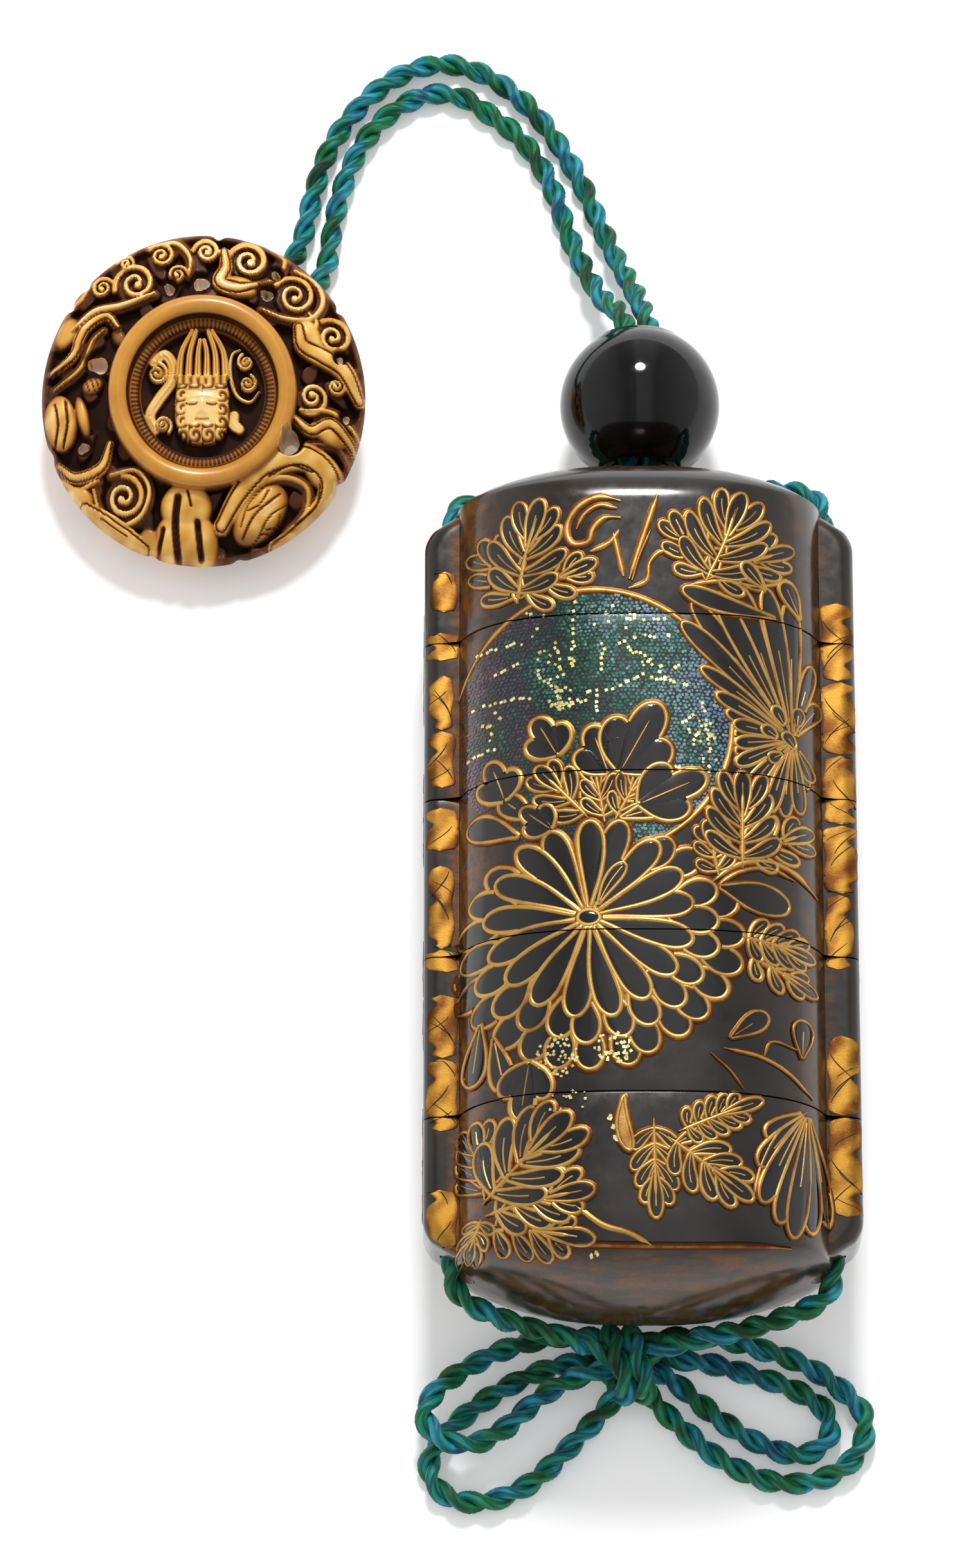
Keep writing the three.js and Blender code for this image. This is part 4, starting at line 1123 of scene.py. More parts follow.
    # Right of the chrysanthemum.
    work.leaf((8.2, -2.6), (7.0, 3.4), 2.2, width=1.2, angles=(56, 30))
    work.leaf((11.6, -0.4), (18.8, 4.0), 3.0, width=1.45, angles=(60, 30))
    work.leaf((10.9, -1.2), (11.0, 9.4), 4.2, lobes=4, width=1.6, angles=(56, 26))
    work.stroke([(7.6, -3.6), (10.2, -1.6), (13.6, -0.7), (16.8, -1.6), (19.2, -3.4)], 0.22)
    work.stroke([(7.9, -4.2), (10.6, -2.3), (13.8, -1.5), (16.6, -2.4)], 0.16, tone=0.3)
    work.petal((8.4, -4.2), (16.0, -5.8), 3.4, line=0.15, widest=0.62)
    work.leaf((11.6, -12.0), (19.0, -15.0), 2.2, width=1.2, angles=(54, 30))
    work.leaf((11.2, -9.8), (18.8, -11.0), 2.6, lobes=4, width=1.3, angles=(56, 30))
    work.petal((9.4, -21.4), (13.4, -18.4), 2.2, line=0.14, vein=0.5)
    work.petal((17.2, -22.6), (17.4, -18.2), 2.2, line=0.14, vein=0.5)
    work.stroke([(8.6, -22.6), (12.7, -23.3), (15.6, -24.6), (18.4, -26.9)], 0.14)
    work.stroke([(7.2, -23.2), (9.4, -25.2), (10.8, -27.2)], 0.1, tone=0.3)
    work.stroke([(13.0, -23.2), (13.8, -21.4), (16.8, -21.8)], 0.1)
    # Below the chrysanthemum.
    work.petal((-17.6, -18.6), (-18.6, -25.4), 2.6, vein=0.7)
    work.petal((-16.2, -20.6), (-15.0, -27.0), 2.5, vein=0.7)
    work.lobed_leaf((-12.4, -24.0), (-13.4, -30.4), 3.6)
    work.leaf((-16.6, -42.2), (-5.4, -44.0), 2.6, lobes=4, width=1.35, angles=(52, 30))
    work.leaf((-16.4, -40.4), (-5.4, -38.6), 3.6, lobes=4, width=1.75, line=0.19, angles=(50, 28))
    work.leaf((-17.2, -38.2), (-18.2, -29.6), 3.4, lobes=4, width=1.5, angles=(40, 22))
    work.leaf((-16.8, -38.6), (-8.0, -30.0), 5.2, lobes=4, width=2.1, line=0.2, angles=(52, 26))
    work.leaf((-17.6, -41.0), (-19.0, -44.4), 1.8, width=1.0)
    work.stroke([(-7.6, -40.4), (-4.6, -42.6), (-1.8, -43.4), (0.8, -44.6)], 0.15, tone=0.9)
    work.leaf((1.0, -31.4), (1.2, -42.0), 3.0, lobes=4, width=1.35, angles=(48, 24))
    work.leaf((3.0, -33.2), (11.6, -39.6), 3.4, lobes=4, width=1.5, angles=(56, 28))
    work.leaf((4.2, -32.0), (12.8, -28.2), 2.1, lobes=5, width=1.15, angles=(66, 40))
    work.petal((-2.2, -28.2), (-1.5, -34.4), 1.5, bend=-0.08, fill=GOLD)
    work.fan((17.7, -28.4), [(222, 6), (234, 9), (246, 12.4), (280, 12.2), (256, 13.8), (271, 13.8),
                             (263, 14.8)], 2.2)
    work.stroke([(17.6, -28.6), (14.6, -31.4), (12.6, -35.4), (11.6, -39.6)], 0.13)
    # Edge line above the base's dome.
    work.stroke([(-10.4, -44.3), (-2, -44.6), (6, -44.6), (15.8, -44.1)], 0.2, tone=0.0)
    pearl_disc(inlay, work)
    work.emit(inlay)
    flecks(inlay, 13.2, -4.9, 2.0, 1.2, 14, height=0.15, size=0.14)
    flecks(inlay, 12.4, -19.8, 1.0, 1.0, 5, height=0.15, size=0.13)
    flecks(inlay, -9.3, -23.6, 2.3, 2.5, 60, size=0.2)
    flecks(inlay, -3.4, -22.8, 2.2, 1.8, 46, size=0.2)
    flecks(inlay, -8.6, -28.6, 2.6, 1.6, 14, size=0.17)
    flecks(inlay, -5.4, -45.2, 0.5, 0.4, 4, size=0.22)
    for x, y in ((-3.4, -31.8), (-3.1, -33.0), (-3.8, -30.6)):
        flecks(inlay, x, y, 0.2, 0.2, 3, size=0.26)
    runner_work(inlay)
    return inlay


RUNNER_ARC = 7.96                 # from the runner's inner corner round to the middle of its side
RUNNER_OUTLINES = {}              # outlines already worked out, by height


def runner_surface(w, y, hand):
    """Points and normals on a runner: w mm round its outline from the front inner corner, on to the back."""
    points, normals = [], []
    for arc, place in zip(w, y):
        key = round(float(place), 2)
        if key not in RUNNER_OUTLINES:
            RUNNER_OUTLINES[key] = section_quarter(float(place))[BODY_STEPS:]
        quarter = RUNNER_OUTLINES[key]
        back = arc > RUNNER_ARC
        at = np.clip((2 * RUNNER_ARC - arc if back else arc) / RUNNER_ARC, 0, 1) * RUNNER_STEPS
        i = min(int(at), RUNNER_STEPS - 1)
        p = quarter[i] + (at - i) * (quarter[i + 1] - quarter[i])
        d = unit(quarter[i + 1] - quarter[i])
        up = -1 if back else 1
        points.append((hand * p[0], place, MID_Z + up * p[1]))
        normals.append((hand * -d[1], 0.0, up * d[0]))
    return np.array(points), np.array(normals)


BROAD = ((-1, UNDER), (-1, 0.6), (-0.92, 1), (-0.7, 1), (-0.45, 1), (-0.2, 1), (0.05, 1), (0.3, 1), (0.55, 1),
         (0.78, 1), (0.93, 1), (1, 0.6), (1, UNDER))
# Painted shade for each point of BROAD: dark at the sheet's edges and a painted highlight over its middle.
BROAD_PAINTED_SHADING = np.array((-0.9, -0.9, -0.5, -0.15, 0.05, 0.15, 0.2, 0.15, 0.05, -0.15, -0.5, -0.9, -0.9))
VEIN_PITCH = 1.9
RUNNER_WORK_END = 42.6            # how far up and down the runners gold may lie


def runner_strip(inlay, w, y, half, height, section, kind, hand, tone=0.5, shades=0.0):
    """A strip along the runner."""
    rows = []
    for c, h in section:
        at_w = np.clip(w + c * half, 0.05, 2 * RUNNER_ARC - 0.05)
        p, normal = runner_surface(at_w, np.clip(y, -RUNNER_WORK_END, RUNNER_WORK_END), hand)
        rows.append(p + (UNDER if h == UNDER else h * height) * normal)
    grid = np.stack(rows, 1)
    inlay.solid(grid if hand < 0 else grid[:, ::-1], kind, tone, shades=shades)


def runner_sheet(inlay, y0, y1, w0, w1, hand, phase):
    """A sheet of gold leaf from y0 to y1, notched along its outer edge and cut by fine dark veins, with
    painted shade at its edges and painted bands of light and shade as of folds.
    """
    length, width = y1 - y0, w1 - w0
    y = np.linspace(y0, y1, max(10, int(length / 0.28)))
    share = (y - y0) / length
    ends = np.sqrt(np.clip(1 - np.abs(2 * share - 1) ** 14, 0.01, 1))
    notches = 0.3 * np.abs(np.sin(0.62 * y + 1.7 * phase)) ** 14
    inner = w0 + 0.05 * width * np.sin(1.3 * y + phase)
    outer = w1 - width * (0.03 + notches + 0.03 * np.sin(2.1 * y + phase))
    middle, half = 0.5 * (inner + outer), 0.5 * (outer - inner) * ends
    across = np.array([c for c, _ in BROAD])
    # Painted light and shade in bands across and along the flat sheet, as if it were folded.
    painted_crease_shading = np.sin(3.2 * across[None, :] + 1.3 * y[:, None] + 2 * phase)
    painted_crease_shading = 0.36 * painted_crease_shading + 0.26 * np.sin(0.55 * y + phase)[:, None]
    runner_strip(inlay, middle, y, half, 0.09, BROAD, LEAF_GOLD, hand, 0.26, shades=BROAD_PAINTED_SHADING + painted_crease_shading)
    t = np.linspace(0, 1, 12)
    for k in range(max(1, int(length / VEIN_PITCH))):
        foot = y0 + (k + 0.45 + 0.3 * math.sin(2.3 * k + phase)) * VEIN_PITCH
        rise = (2.3 + math.sin(1.9 * k + phase)) * (1 if math.sin(1.1 * k + phase) > -0.3 else -1)
        vein_y = np.clip(foot + rise * t, y0 + 0.2, y1 - 0.2)
        vein_w = w0 + width * (0.08 + 0.1 * (k % 3) + 0.66 * t ** 1.4)
        runner_strip(inlay, vein_w, vein_y, 0.05 + 0.09 * np.sin(math.pi * t), 0.125, VEIN, FILL, hand)


def runner_work(inlay):
    """Sheets of gold leaf along the runners: start, end, and the width's start and end round the runner."""
    left = ((31.4, 36.2, 0.3, 3.3), (25.6, 28.9, 0.1, 4.0), (17.4, 23.8, 0.7, 3.5), (10.6, 17.2, 0.5, 3.6),
            (3.2, 8.2, 0.1, 4.0), (-8.2, 1.4, 0.6, 3.5), (-10.9, -8.4, 0.1, 4.0), (-20.8, -13.6, 0.2, 3.6),
            (-29.2, -21.0, 0.1, 3.8), (-42.4, -35.9, 0.2, 3.7))
    right = ((23.2, 32.4, 0.1, 4.0), (14.5, 23.0, 0.1, 4.4), (6.3, 14.3, 0.1, 4.3), (-1.8, 6.1, 0.1, 4.4),
             (-10.6, -2.0, 0.1, 3.4), (-27.4, -18.3, 0.2, 4.0), (-38.9, -27.6, 0.1, 4.3))
    back = ((20, 26), (26.3, 33), (3, 8), (8.4, 14), (-12, -6), (-18, -12.4), (-38, -32), (-31.6, -25))
    for hand, sheets in ((-1, left), (1, right)):
        for index, (y0, y1, w0, w1) in enumerate(sheets):
            runner_sheet(inlay, y0, y1, w0, w1, hand, 1.3 * index + hand)
        for index, (y0, y1) in enumerate(back):
            runner_sheet(inlay, y0, y1, 6.4 + 1.2 * (index % 2), 10.8, hand, 1.7 * index)


def gold_material(name, dull, bright, rough=0.36):
    """Powdered gold, from dull to bright by the work's tone and a fine dust; the tone holds painted shade on
    the flanks of raised work and a painted highlight on its crests.
    """
    n = Nodes(name)
    place = n.add("TexCoord").outputs["Object"]
    tone = n.attribute("tone")
    patch = n.noise(place, 330.0, 3.0, 0.6)
    dust = n.noise(place, 5200.0, 2.0, 0.6)
    mixed = n.math("ADD", n.math("MULTIPLY", tone, 0.5), n.math("MULTIPLY", patch, 0.9))
    mixed = n.math("ADD", mixed, n.math("MULTIPLY", dust, 0.25))
    colour = n.ramp(mixed, [(0.2, tuple(0.42 * c for c in dull)), (0.5, dull), (0.95, bright)])
    return n.finish(Base_Color=colour, Metallic=0.85, Roughness=rough,
                    Normal=n.bump(dust, 0.25, 0.00005))


def pearl_material():
    """Abalone shell, whose colour goes with each chip's tone."""
    n = Nodes("shell")
    tone = n.attribute("tone")
    place = n.add("TexCoord").outputs["Object"]
    swirl = n.noise(place, 260.0, 2.0, 0.5)
    swirl_share = n.math("MULTIPLY", n.math("SUBTRACT", swirl, 0.4), 0.6)
    both = n.math("ADD", n.math("MULTIPLY", tone, 0.8), swirl_share)
    colour = n.ramp(both, [(0.02, (0.11, 0.055, 0.12)), (0.15, (0.035, 0.03, 0.055)),
                           (0.3, (0.008, 0.035, 0.04)), (0.42, (0.004, 0.11, 0.06)),
                           (0.54, (0.03, 0.17, 0.15)), (0.66, (0.16, 0.31, 0.31)),
                           (0.78, (0.06, 0.15, 0.32)), (0.92, (0.30, 0.42, 0.27))])
    return n.finish(Base_Color=colour, Roughness=0.22, Metallic=0.35, Coat_Weight=0.5, Coat_Roughness=0.06,
                    Normal=n.bump(swirl, 0.1, 0.00005))


WORK_MATERIALS = [
    gold_material("gold_line", (0.17, 0.050, 0.008), (0.56, 0.32, 0.085)),
    lacquer_material("relief_lacquer", (0.004, 0.0035, 0.0035), 0.13, (0.012, 0.009, 0.007)),
    pearl_material(),
    gold_material("gold_fleck", (0.62, 0.42, 0.10), (0.95, 0.85, 0.42), 0.3),
    gold_material("gold_leaf", (0.16, 0.052, 0.007), (0.47, 0.235, 0.032), 0.46),
]


PAST_ENDS = 100                   # farther than the case reaches


def cut_to(bm, low, high):
    """Keeps what lies between two places on Y, in metres, and closes the cuts."""
    for place, normal in ((low, (0, -1, 0)), (high, (0, 1, 0))):
        whole = bm.verts[:] + bm.edges[:] + bm.faces[:]
        made = bmesh.ops.bisect_plane(bm, geom=whole, plane_co=(0, place, 0), plane_no=normal,
                                      clear_outer=True)
        edges = [e for e in made["geom_cut"] if isinstance(e, bmesh.types.BMEdge) and len(e.link_faces) == 1]
        bmesh.ops.holes_fill(bm, edges=edges, sides=0)


def lay_work(inlay, prefix):
    """One piece of work for each section of the case, cut at the seams."""
    whole = new_object(prefix, np.vstack(inlay.verts), inlay.faces, WORK_MATERIALS,
                       material_index=inlay.kinds,
                       attributes={"tone": ("FLOAT", np.concatenate(inlay.tones))})
    limits = (-PAST_ENDS, *SEAMS, PAST_ENDS)
    for node, low, high in zip(SECTION_NODES, limits, limits[1:]):
        bm = bmesh.new()
        bm.from_mesh(whole.data)
        cut_to(bm, (low + SEAM_HALF) * MM, (high - SEAM_HALF) * MM)
        mesh = bpy.data.meshes.new(prefix + "_" + node)
        bmesh.ops.recalc_face_normals(bm, faces=bm.faces)
        bm.to_mesh(mesh)
        bm.free()
        for material in WORK_MATERIALS:
            mesh.materials.append(material)
        mesh.set_sharp_from_angle(angle=math.radians(50))
        obj = bpy.data.objects.new(prefix + "_" + node, mesh)
        bpy.context.scene.collection.objects.link(obj)
        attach(obj, "root")
    bpy.data.objects.remove(whole)


lay_work(front_work(), "work")

# ---------------------------------------------------------------- netsuke

NETSUKE_RADIUS, NETSUKE_STRETCH = 18.5, 1.055
NETSUKE_TILT = math.radians(8)
NETSUKE_CENTRE = np.array([-49.4, 61.9, 6.2])
RING_RADIUS, RING_THICKNESS = 9.65, 1.15
MEDALLION_RADIUS, MEDALLION_FLOOR = 7.05, 2.9
MILLED_RADIUS, MILLED_TEETH = 7.75, 104
# Profiles of its front and back: distance from the middle, height.
CROWN = ((0, 4.9), (8.3, 4.9), (11, 4.7), (13.2, 4.2), (16, 3.3), (17.3, 2.5), (18.0, 1.8), (18.5, 0.7))
BELLY = ((18.5, 0.7), (18.3, 0.0), (17.4, -1.2), (15.6, -2.6), (13.5, -3.6), (11, -4.5), (8, -5.2), (4, -5.5),
         (0, -5.6))

# Curls of cloud: x, y, size, starting angle, hand and line width, in mm on the face.
CURLS = (
    (-7.8, 12.5, 2.5, 3.4, -1, 0.34), (-11.6, 12.2, 1.35, 0.4, 1, 0.26), (-8.9, 15.0, 1.1, 3.0, -1, 0.24),
    (-4.9, 15.8, 1.6, 2.6, -1, 0.28), (-3.0, 13.4, 1.2, 0.2, 1, 0.24), (0.3, 16.2, 1.6, 3.0, -1, 0.32),
    (5.1, 15.1, 2.5, 3.3, -1, 0.38), (10.4, 11.1, 2.5, 2.6, -1, 0.32), (14.8, 6.6, 2.2, 2.2, -1, 0.32),
    (12.5, -0.4, 1.9, 4.0, 1, 0.3), (15.2, 1.0, 1.1, 1.0, -1, 0.24), (-8.9, -11.4, 2.4, 1.6, -1, 0.32),
    (-5.2, 2.2, 1.25, 1.4, -1, 0.2), (-4.5, -3.5, 1.05, 5.4, 1, 0.19), (4.9, 3.5, 1.0, 2.0, 1, 0.18),
    (5.1, 1.1, 1.05, 1.2, -1, 0.18),
)
# Flowing ribbons: points, half width and share of the full height.
RIBBONS = (
    (((-5.6, 11.2), (-9.4, 9.9), (-12.4, 9.4), (-15.0, 7.4)), 0.34, 1.0),
    (((-17.4, 2.6), (-14.9, 4.4), (-13.6, 7.4), (-11.0, 8.8), (-9.7, 7.4)), 0.6, 1.0),
    (((-17.0, 0.8), (-14.0, 3.0), (-12.5, 6.2), (-11.4, 7.2)), 0.24, 0.8),
    (((-16.4, -7.6), (-14.5, -9.0), (-11.5, -8.1), (-10.5, -5.6)), 0.66, 1.0),
    (((-16.2, -9.0), (-14.3, -10.2), (-11.8, -9.4)), 0.26, 0.8),
    (((-13.4, -12.3), (-10.2, -14.8), (-6.6, -16.9)), 1.35, 1.0),
    (((10.4, -2.7), (12.4, -4.1), (14.5, -3.2), (16.4, -4.8), (17.6, -6.6)), 0.7, 1.0),
    (((11.4, -1.9), (14.6, -1.9), (16.6, -3.2), (17.9, -4.8)), 0.26, 0.85),
    (((11.2, -5.6), (13.4, -5.4), (15.4, -5.6), (16.8, -7.6)), 0.22, 0.6),
    (((10.9, 7.4), (11.4, 5.4), (13.6, 4.3), (16.0, 2.9), (17.8, -0.4)), 1.1, 1.0),
    (((12.0, 9.2), (12.9, 8.3), (12.4, 5.6), (14.4, 3.9)), 0.3, 0.8),
    (((2.3, 16.2), (2.5, 14.2), (1.9, 12.6), (3.8, 11.8), (6.0, 12.2)), 0.85, 1.0),
    (((6.6, 9.4), (9.4, 8.4), (12.4, 8.6), (13.6, 10.6), (12.8, 12.9), (10.4, 14.2)), 0.28, 0.95),
    (((7.4, 17.0), (9.2, 15.4), (8.2, 13.2), (6.4, 12.4)), 0.26, 0.8),
    (((-12.4, -10.4), (-11.6, -12.8), (-9.6, -14.3), (-7.0, -13.4), (-6.0, -10.6), (-7.4, -8.6),
      (-10.4, -8.9)), 0.26, 0.9),
    (((-6.4, 16.9), (-3.2, 17.3), (-1.6, 15.4), (-1.7, 13.3)), 0.26, 0.9),
    (((2.2, -14.6), (4.4, -11.0), (7.4, -8.0), (11.6, -6.9), (14.4, -8.9), (14.2, -11.6), (11.4, -14.6),
      (8.4, -16.6)), 1.4, 1.0),
    (((3.6, -14.0), (6.2, -10.4), (9.4, -9.2), (11.9, -10.2), (11.8, -12.6), (9.6, -15.0)), 0.3, 0.75),
    (((-15.6, 10.2), (-14.2, 10.9), (-13.2, 12.6)), 0.28, 0.8),
    (((-5.6, 3.5), (-4.4, 4.4), (-3.5, 3.4), (-3.5, 1.6), (-5.0, -0.6), (-6.0, -2.4), (-5.4, -4.0)),
     0.21, 0.6),
    (((4.2, 4.9), (3.4, 4.5), (3.1, 2.4), (3.9, -0.2), (5.4, -0.9), (6.4, 0.2)), 0.2, 0.6),
    (((3.6, -2.4), (3.5, -3.3), (4.2, -3.9)), 0.22, 0.5),
)
# Rounded masses: x, y, half sizes, turn in degrees and height share.
MASSES = (
    (-16.2, -2.9, 1.9, 3.2, 8, 1.0), (-13.7, -2.4, 0.75, 2.5, 14, 0.85), (-14.2, -11.2, 1.9, 1.4, -20, 1.0),
    (-1.8, -12.6, 3.0, 2.8, 0, 1.08), (-1.9, -16.4, 3.8, 3.9, 0, 1.04), (-5.9, -16.2, 1.3, 1.7, 30, 0.9),
    (6.6, -13.2, 4.0, 2.3, 47, 0.95),
    (3.9, 12.0, 2.4, 1.35, -10, 1.0), (-12.6, 1.0, 1.3, 1.0, 20, 0.75), (12.1, 6.6, 1.35, 2.5, 28, 1.0),
    (14.3, -4.4, 2.4, 1.0, -28, 0.98), (13.7, -8.3, 2.7, 1.9, -42, 1.0), (-15.6, 7.2, 1.2, 2.0, -28, 0.85),
    (4.6, -8.6, 1.1, 1.0, 0, 0.8), (-9.6, 6.4, 0.9, 1.2, 30, 0.6),
)
# Cuts into the masses: points, half width and depth in mm.
CUTS = (
    (((-2.7, -11.6), (-3.0, -14.4), (-2.7, -18.2)), 0.3, 1.0), (((-0.5, -14.2), (-0.1, -17.9)), 0.26, 0.9),
    (((-4.4, -14.8), (-5.0, -17.6)), 0.2, 0.7), (((-1.6, -10.9), (-1.2, -12.6)), 0.14, 0.35),
    (((5.6, -16.4), (7.0, -15.2), (8.4, -15.4)), 0.1, 0.25),
    (((4.4, -14.6), (5.2, -12.4), (6.9, -10.4)), 0.1, 0.22),
    (((4.6, -15.8), (6.0, -13.4), (8.9, -11.0)), 0.13, 0.3),
    (((6.4, -15.6), (7.6, -13.6), (9.6, -12.0)), 0.11, 0.25),
    (((5.2, -13.0), (6.6, -12.2), (7.6, -10.6)), 0.1, 0.25),
    (((7.2, -14.8), (8.4, -14.4), (8.9, -13.2)), 0.1, 0.25),
    (((-16.9, -0.9), (-16.5, -3.0), (-16.9, -5.6)), 0.14, 0.4),
    (((-15.7, -0.6), (-15.4, -3.0), (-15.9, -5.6)), 0.14, 0.4), (((-13.4, 1.6), (-12.9, 0.3)), 0.09, 0.25),
    (((-12.9, 1.9), (-12.3, 0.4)), 0.09, 0.25), (((-12.3, 1.9), (-11.8, 0.6)), 0.09, 0.25),
    (((7.6, -9.2), (10.2, -8.0), (12.6, -8.6)), 0.12, 0.3),
    (((13.4, -9.8), (13.0, -12.0), (10.6, -14.2)), 0.12, 0.3), (((-11.6, -13.4), (-8.6, -15.4)), 0.1, 0.25),
)
# Notches in the rim: direction in degrees, depth in mm and width in radians.
RIM_NOTCHES = ((85, 0.45, 0.03), (33, 0.4, 0.025), (146, 0.4, 0.03), (137, 0.25, 0.03), (328, 0.5, 0.03),
               (200, 0.3, 0.04), (252, 0.3, 0.03), (283, 0.3, 0.03))
# Openings right through the netsuke: x, y and radius.
PIERCINGS = ((-3.9, 12.0, 0.62), (-0.3, 12.6, 0.8), (7.2, 11.4, 0.68), (-12.0, 3.5, 1.05), (9.9, -5.2, 1.25),
             (15.6, 4.3, 0.4), (16.3, -2.3, 0.4), (-13.6, -5.6, 0.6), (8.2, 13.8, 0.5))


SOFT_EDGE = 0.24                  # width over which a carved edge falls


def distance_to(x, y, points):
    """Distance from each place to a smooth line through points, and how far along it that is."""
    line = catmull(points, 0.3)
    best = np.full(x.shape, 99.0)
    along = np.zeros(x.shape)
    low, high = line.min(0) - 1.8, line.max(0) + 1.8
    near = (x > low[0]) & (x < high[0]) & (y > low[1]) & (y < high[1])
    px, py = x[near], y[near]
    nearest, share = np.full(px.shape, 99.0), np.zeros(px.shape)
    for i in range(len(line) - 1):
        a, d = line[i], line[i + 1] - line[i]
        t = np.clip(((px - a[0]) * d[0] + (py - a[1]) * d[1]) / max(d @ d, 1e-9), 0, 1)
        gap = np.hypot(px - a[0] - t * d[0], py - a[1] - t * d[1])
        closer = gap < nearest
        nearest = np.where(closer, gap, nearest)
        share = np.where(closer, (i + t) / (len(line) - 1), share)
    best[near] = nearest
    along[near] = share
    return best, along


def smooth(value):
    """0 below 0, 1 above 1 and an S-curve between."""
    value = np.clip(value, 0, 1)
    return value * value * (3 - 2 * value)


def curl_relief(x, y):
    """Height share of the curls, with the shallow bowl that each one lies in."""
    share = np.zeros_like(x)
    for cx, cy, size, turn, hand, width in CURLS:
        t = np.linspace(0, 1, 26)
        angle = turn + hand * t * 3.3 * math.pi
        reach = size * (1 - 0.84 * t ** 0.85)
        spiral = np.stack([cx + reach * np.cos(angle), cy + reach * np.sin(angle)], 1)
        gap, along = distance_to(x, y, spiral)
        half = width * (1.15 - 0.35 * along)
        top = 0.72 + 0.28 * along if size > 1 else 0.7
        share = np.maximum(share, top * smooth((half - gap) / SOFT_EDGE + 0.5))
        eye = np.hypot(x - spiral[-1, 0], y - spiral[-1, 1])
        share = np.maximum(share, smooth((1.5 * width - eye) / 0.2 + 0.3))
        bowl = smooth((size * 1.04 - np.hypot(x - cx, y - cy)) / 0.5)
        share = np.maximum(share, 0.42 * bowl)
    return share


def ribbon_relief(x, y):
    """Height share of the ribbons, depth of the grooves in the broad ones, and where those lie."""
    share, grooves, broad = (np.zeros_like(x) for _ in range(3))
    for points, width, height in RIBBONS:
        gap, along = distance_to(x, y, points)
        half = width * (0.65 + 0.5 * np.sin(math.pi * np.clip(along, 0.02, 0.98)))
        body = np.sqrt(np.clip(1 - (gap / (half + 0.12)) ** 2, 0, 1))
        on = smooth((half - gap) / SOFT_EDGE + 0.5)
        share = np.maximum(share, height * (0.5 * on + 0.5 * body))
        if width > 0.4:
            broad = np.maximum(broad, on)
            grooves = np.maximum(grooves, 0.34 * np.exp(-((gap - 0.62 * half) / 0.1) ** 2))
        elif width > 0.2:
            halo = smooth((half + 0.75 - gap) / 0.5)
            share = np.maximum(share, 0.48 * halo)
    return share, grooves, broad


def mass_relief(x, y):
    """Height share of the rounded masses, and where they lie."""
    share, broad = np.zeros_like(x), np.zeros_like(x)
    for cx, cy, a, b, degrees, height in MASSES:
        c, s = math.cos(math.radians(degrees)), math.sin(math.radians(degrees))
        u = (x - cx) * c + (y - cy) * s
        v = (y - cy) * c - (x - cx) * s
        rho = (u / a) ** 2 + (v / b) ** 2
        dome = np.sqrt(np.clip(1 - rho, 0, 1))
        share = np.maximum(share, height * (0.25 + 0.75 * dome ** 0.7) * (rho < 1))
        broad = np.maximum(broad, smooth((1 - rho) / 0.3))
    return share, broad


def cloud_relief(x, y, r):
    """Height share of all that is carved in relief, depth of the cuts, and where the broad forms lie."""
    ribbons, cut, on_ribbon = ribbon_relief(x, y)
    masses, on_mass = mass_relief(x, y)
    islands = np.sin(1.35 * x + 0.9 * np.sin(0.8 * y)) * np.cos(1.1 * y + 0.7 * np.sin(1.2 * x))
    islands = 0.42 * smooth((islands - 0.05) / 0.45) * smooth((r - 8.4) / 0.4)
    share = np.maximum.reduce([curl_relief(x, y), ribbons, masses, islands])
    for points, width, depth in CUTS:
        gap, _ = distance_to(x, y, points)
        cut = np.maximum(cut, depth * np.exp(-(gap / width) ** 2))
    for cx, cy, radius in PIERCINGS:
        gap = np.hypot(x - cx, y - cy)
        share = share * smooth((gap - radius - 0.05) / 0.6)
    return share, cut, np.maximum(on_ribbon, on_mass)


def add_rings(x, y, r, z, stain_and_shade):
    """The smooth ring, and inside it the milled ring down to the medallion's floor."""
    tube = (r - RING_RADIUS) / RING_THICKNESS
    in_tube = np.abs(tube) < 1
    tube_top = 4.95 + 1.2 * np.sqrt(np.clip(1 - tube ** 2, 0, 1))
    teeth = np.cos(np.arctan2(y, x) * MILLED_TEETH)
    off_teeth = np.abs(r - MILLED_RADIUS)
    milled = 4.55 - 0.5 * np.abs(r - 7.9) + 0.12 * teeth * smooth((0.45 - off_teeth) / 0.2)
    step = MEDALLION_FLOOR + (milled - MEDALLION_FLOOR) * smooth((r - 6.95) / 0.25)
    inner = np.where(r < 7.35, step, np.where(r < 8.45, milled, 4.3))
    z = np.where(r < RING_RADIUS, inner, z)
    z = np.where(in_tube, np.maximum(tube_top, np.where(np.abs(tube) < 0.95, 0, z)), z)
    # Grooves and the gaps between the teeth are darkened: staining and painted shade.
    groove = np.exp(-((r - 8.55) / 0.16) ** 2) + 0.7 * np.exp(-((r - 7.3) / 0.14) ** 2)
    milled_stain_and_shade = 0.30 + 0.45 * (0.5 + 0.5 * teeth) * smooth((0.5 - off_teeth) / 0.15) + groove
    inner_stain_and_shade = np.where(r < 7.1, 1.0, np.clip(milled_stain_and_shade, 0, 1))
    stain_and_shade = np.where(r < 8.7, inner_stain_and_shade, stain_and_shade)
    # The ring is darker down its sides than on its top: staining and painted shade.
    tube_stain_and_shade = 0.12 + 0.5 * smooth((np.abs(tube) - 0.8) / 0.2)
    return z, np.where(in_tube & (r > 8.6), tube_stain_and_shade, stain_and_shade)


def bump_at(u, v, wide, high):
    """A soft round bump, or the share of one, over offsets u and v from its middle."""
    return np.exp(-(u / wide) ** 2 - (v / high) ** 2)


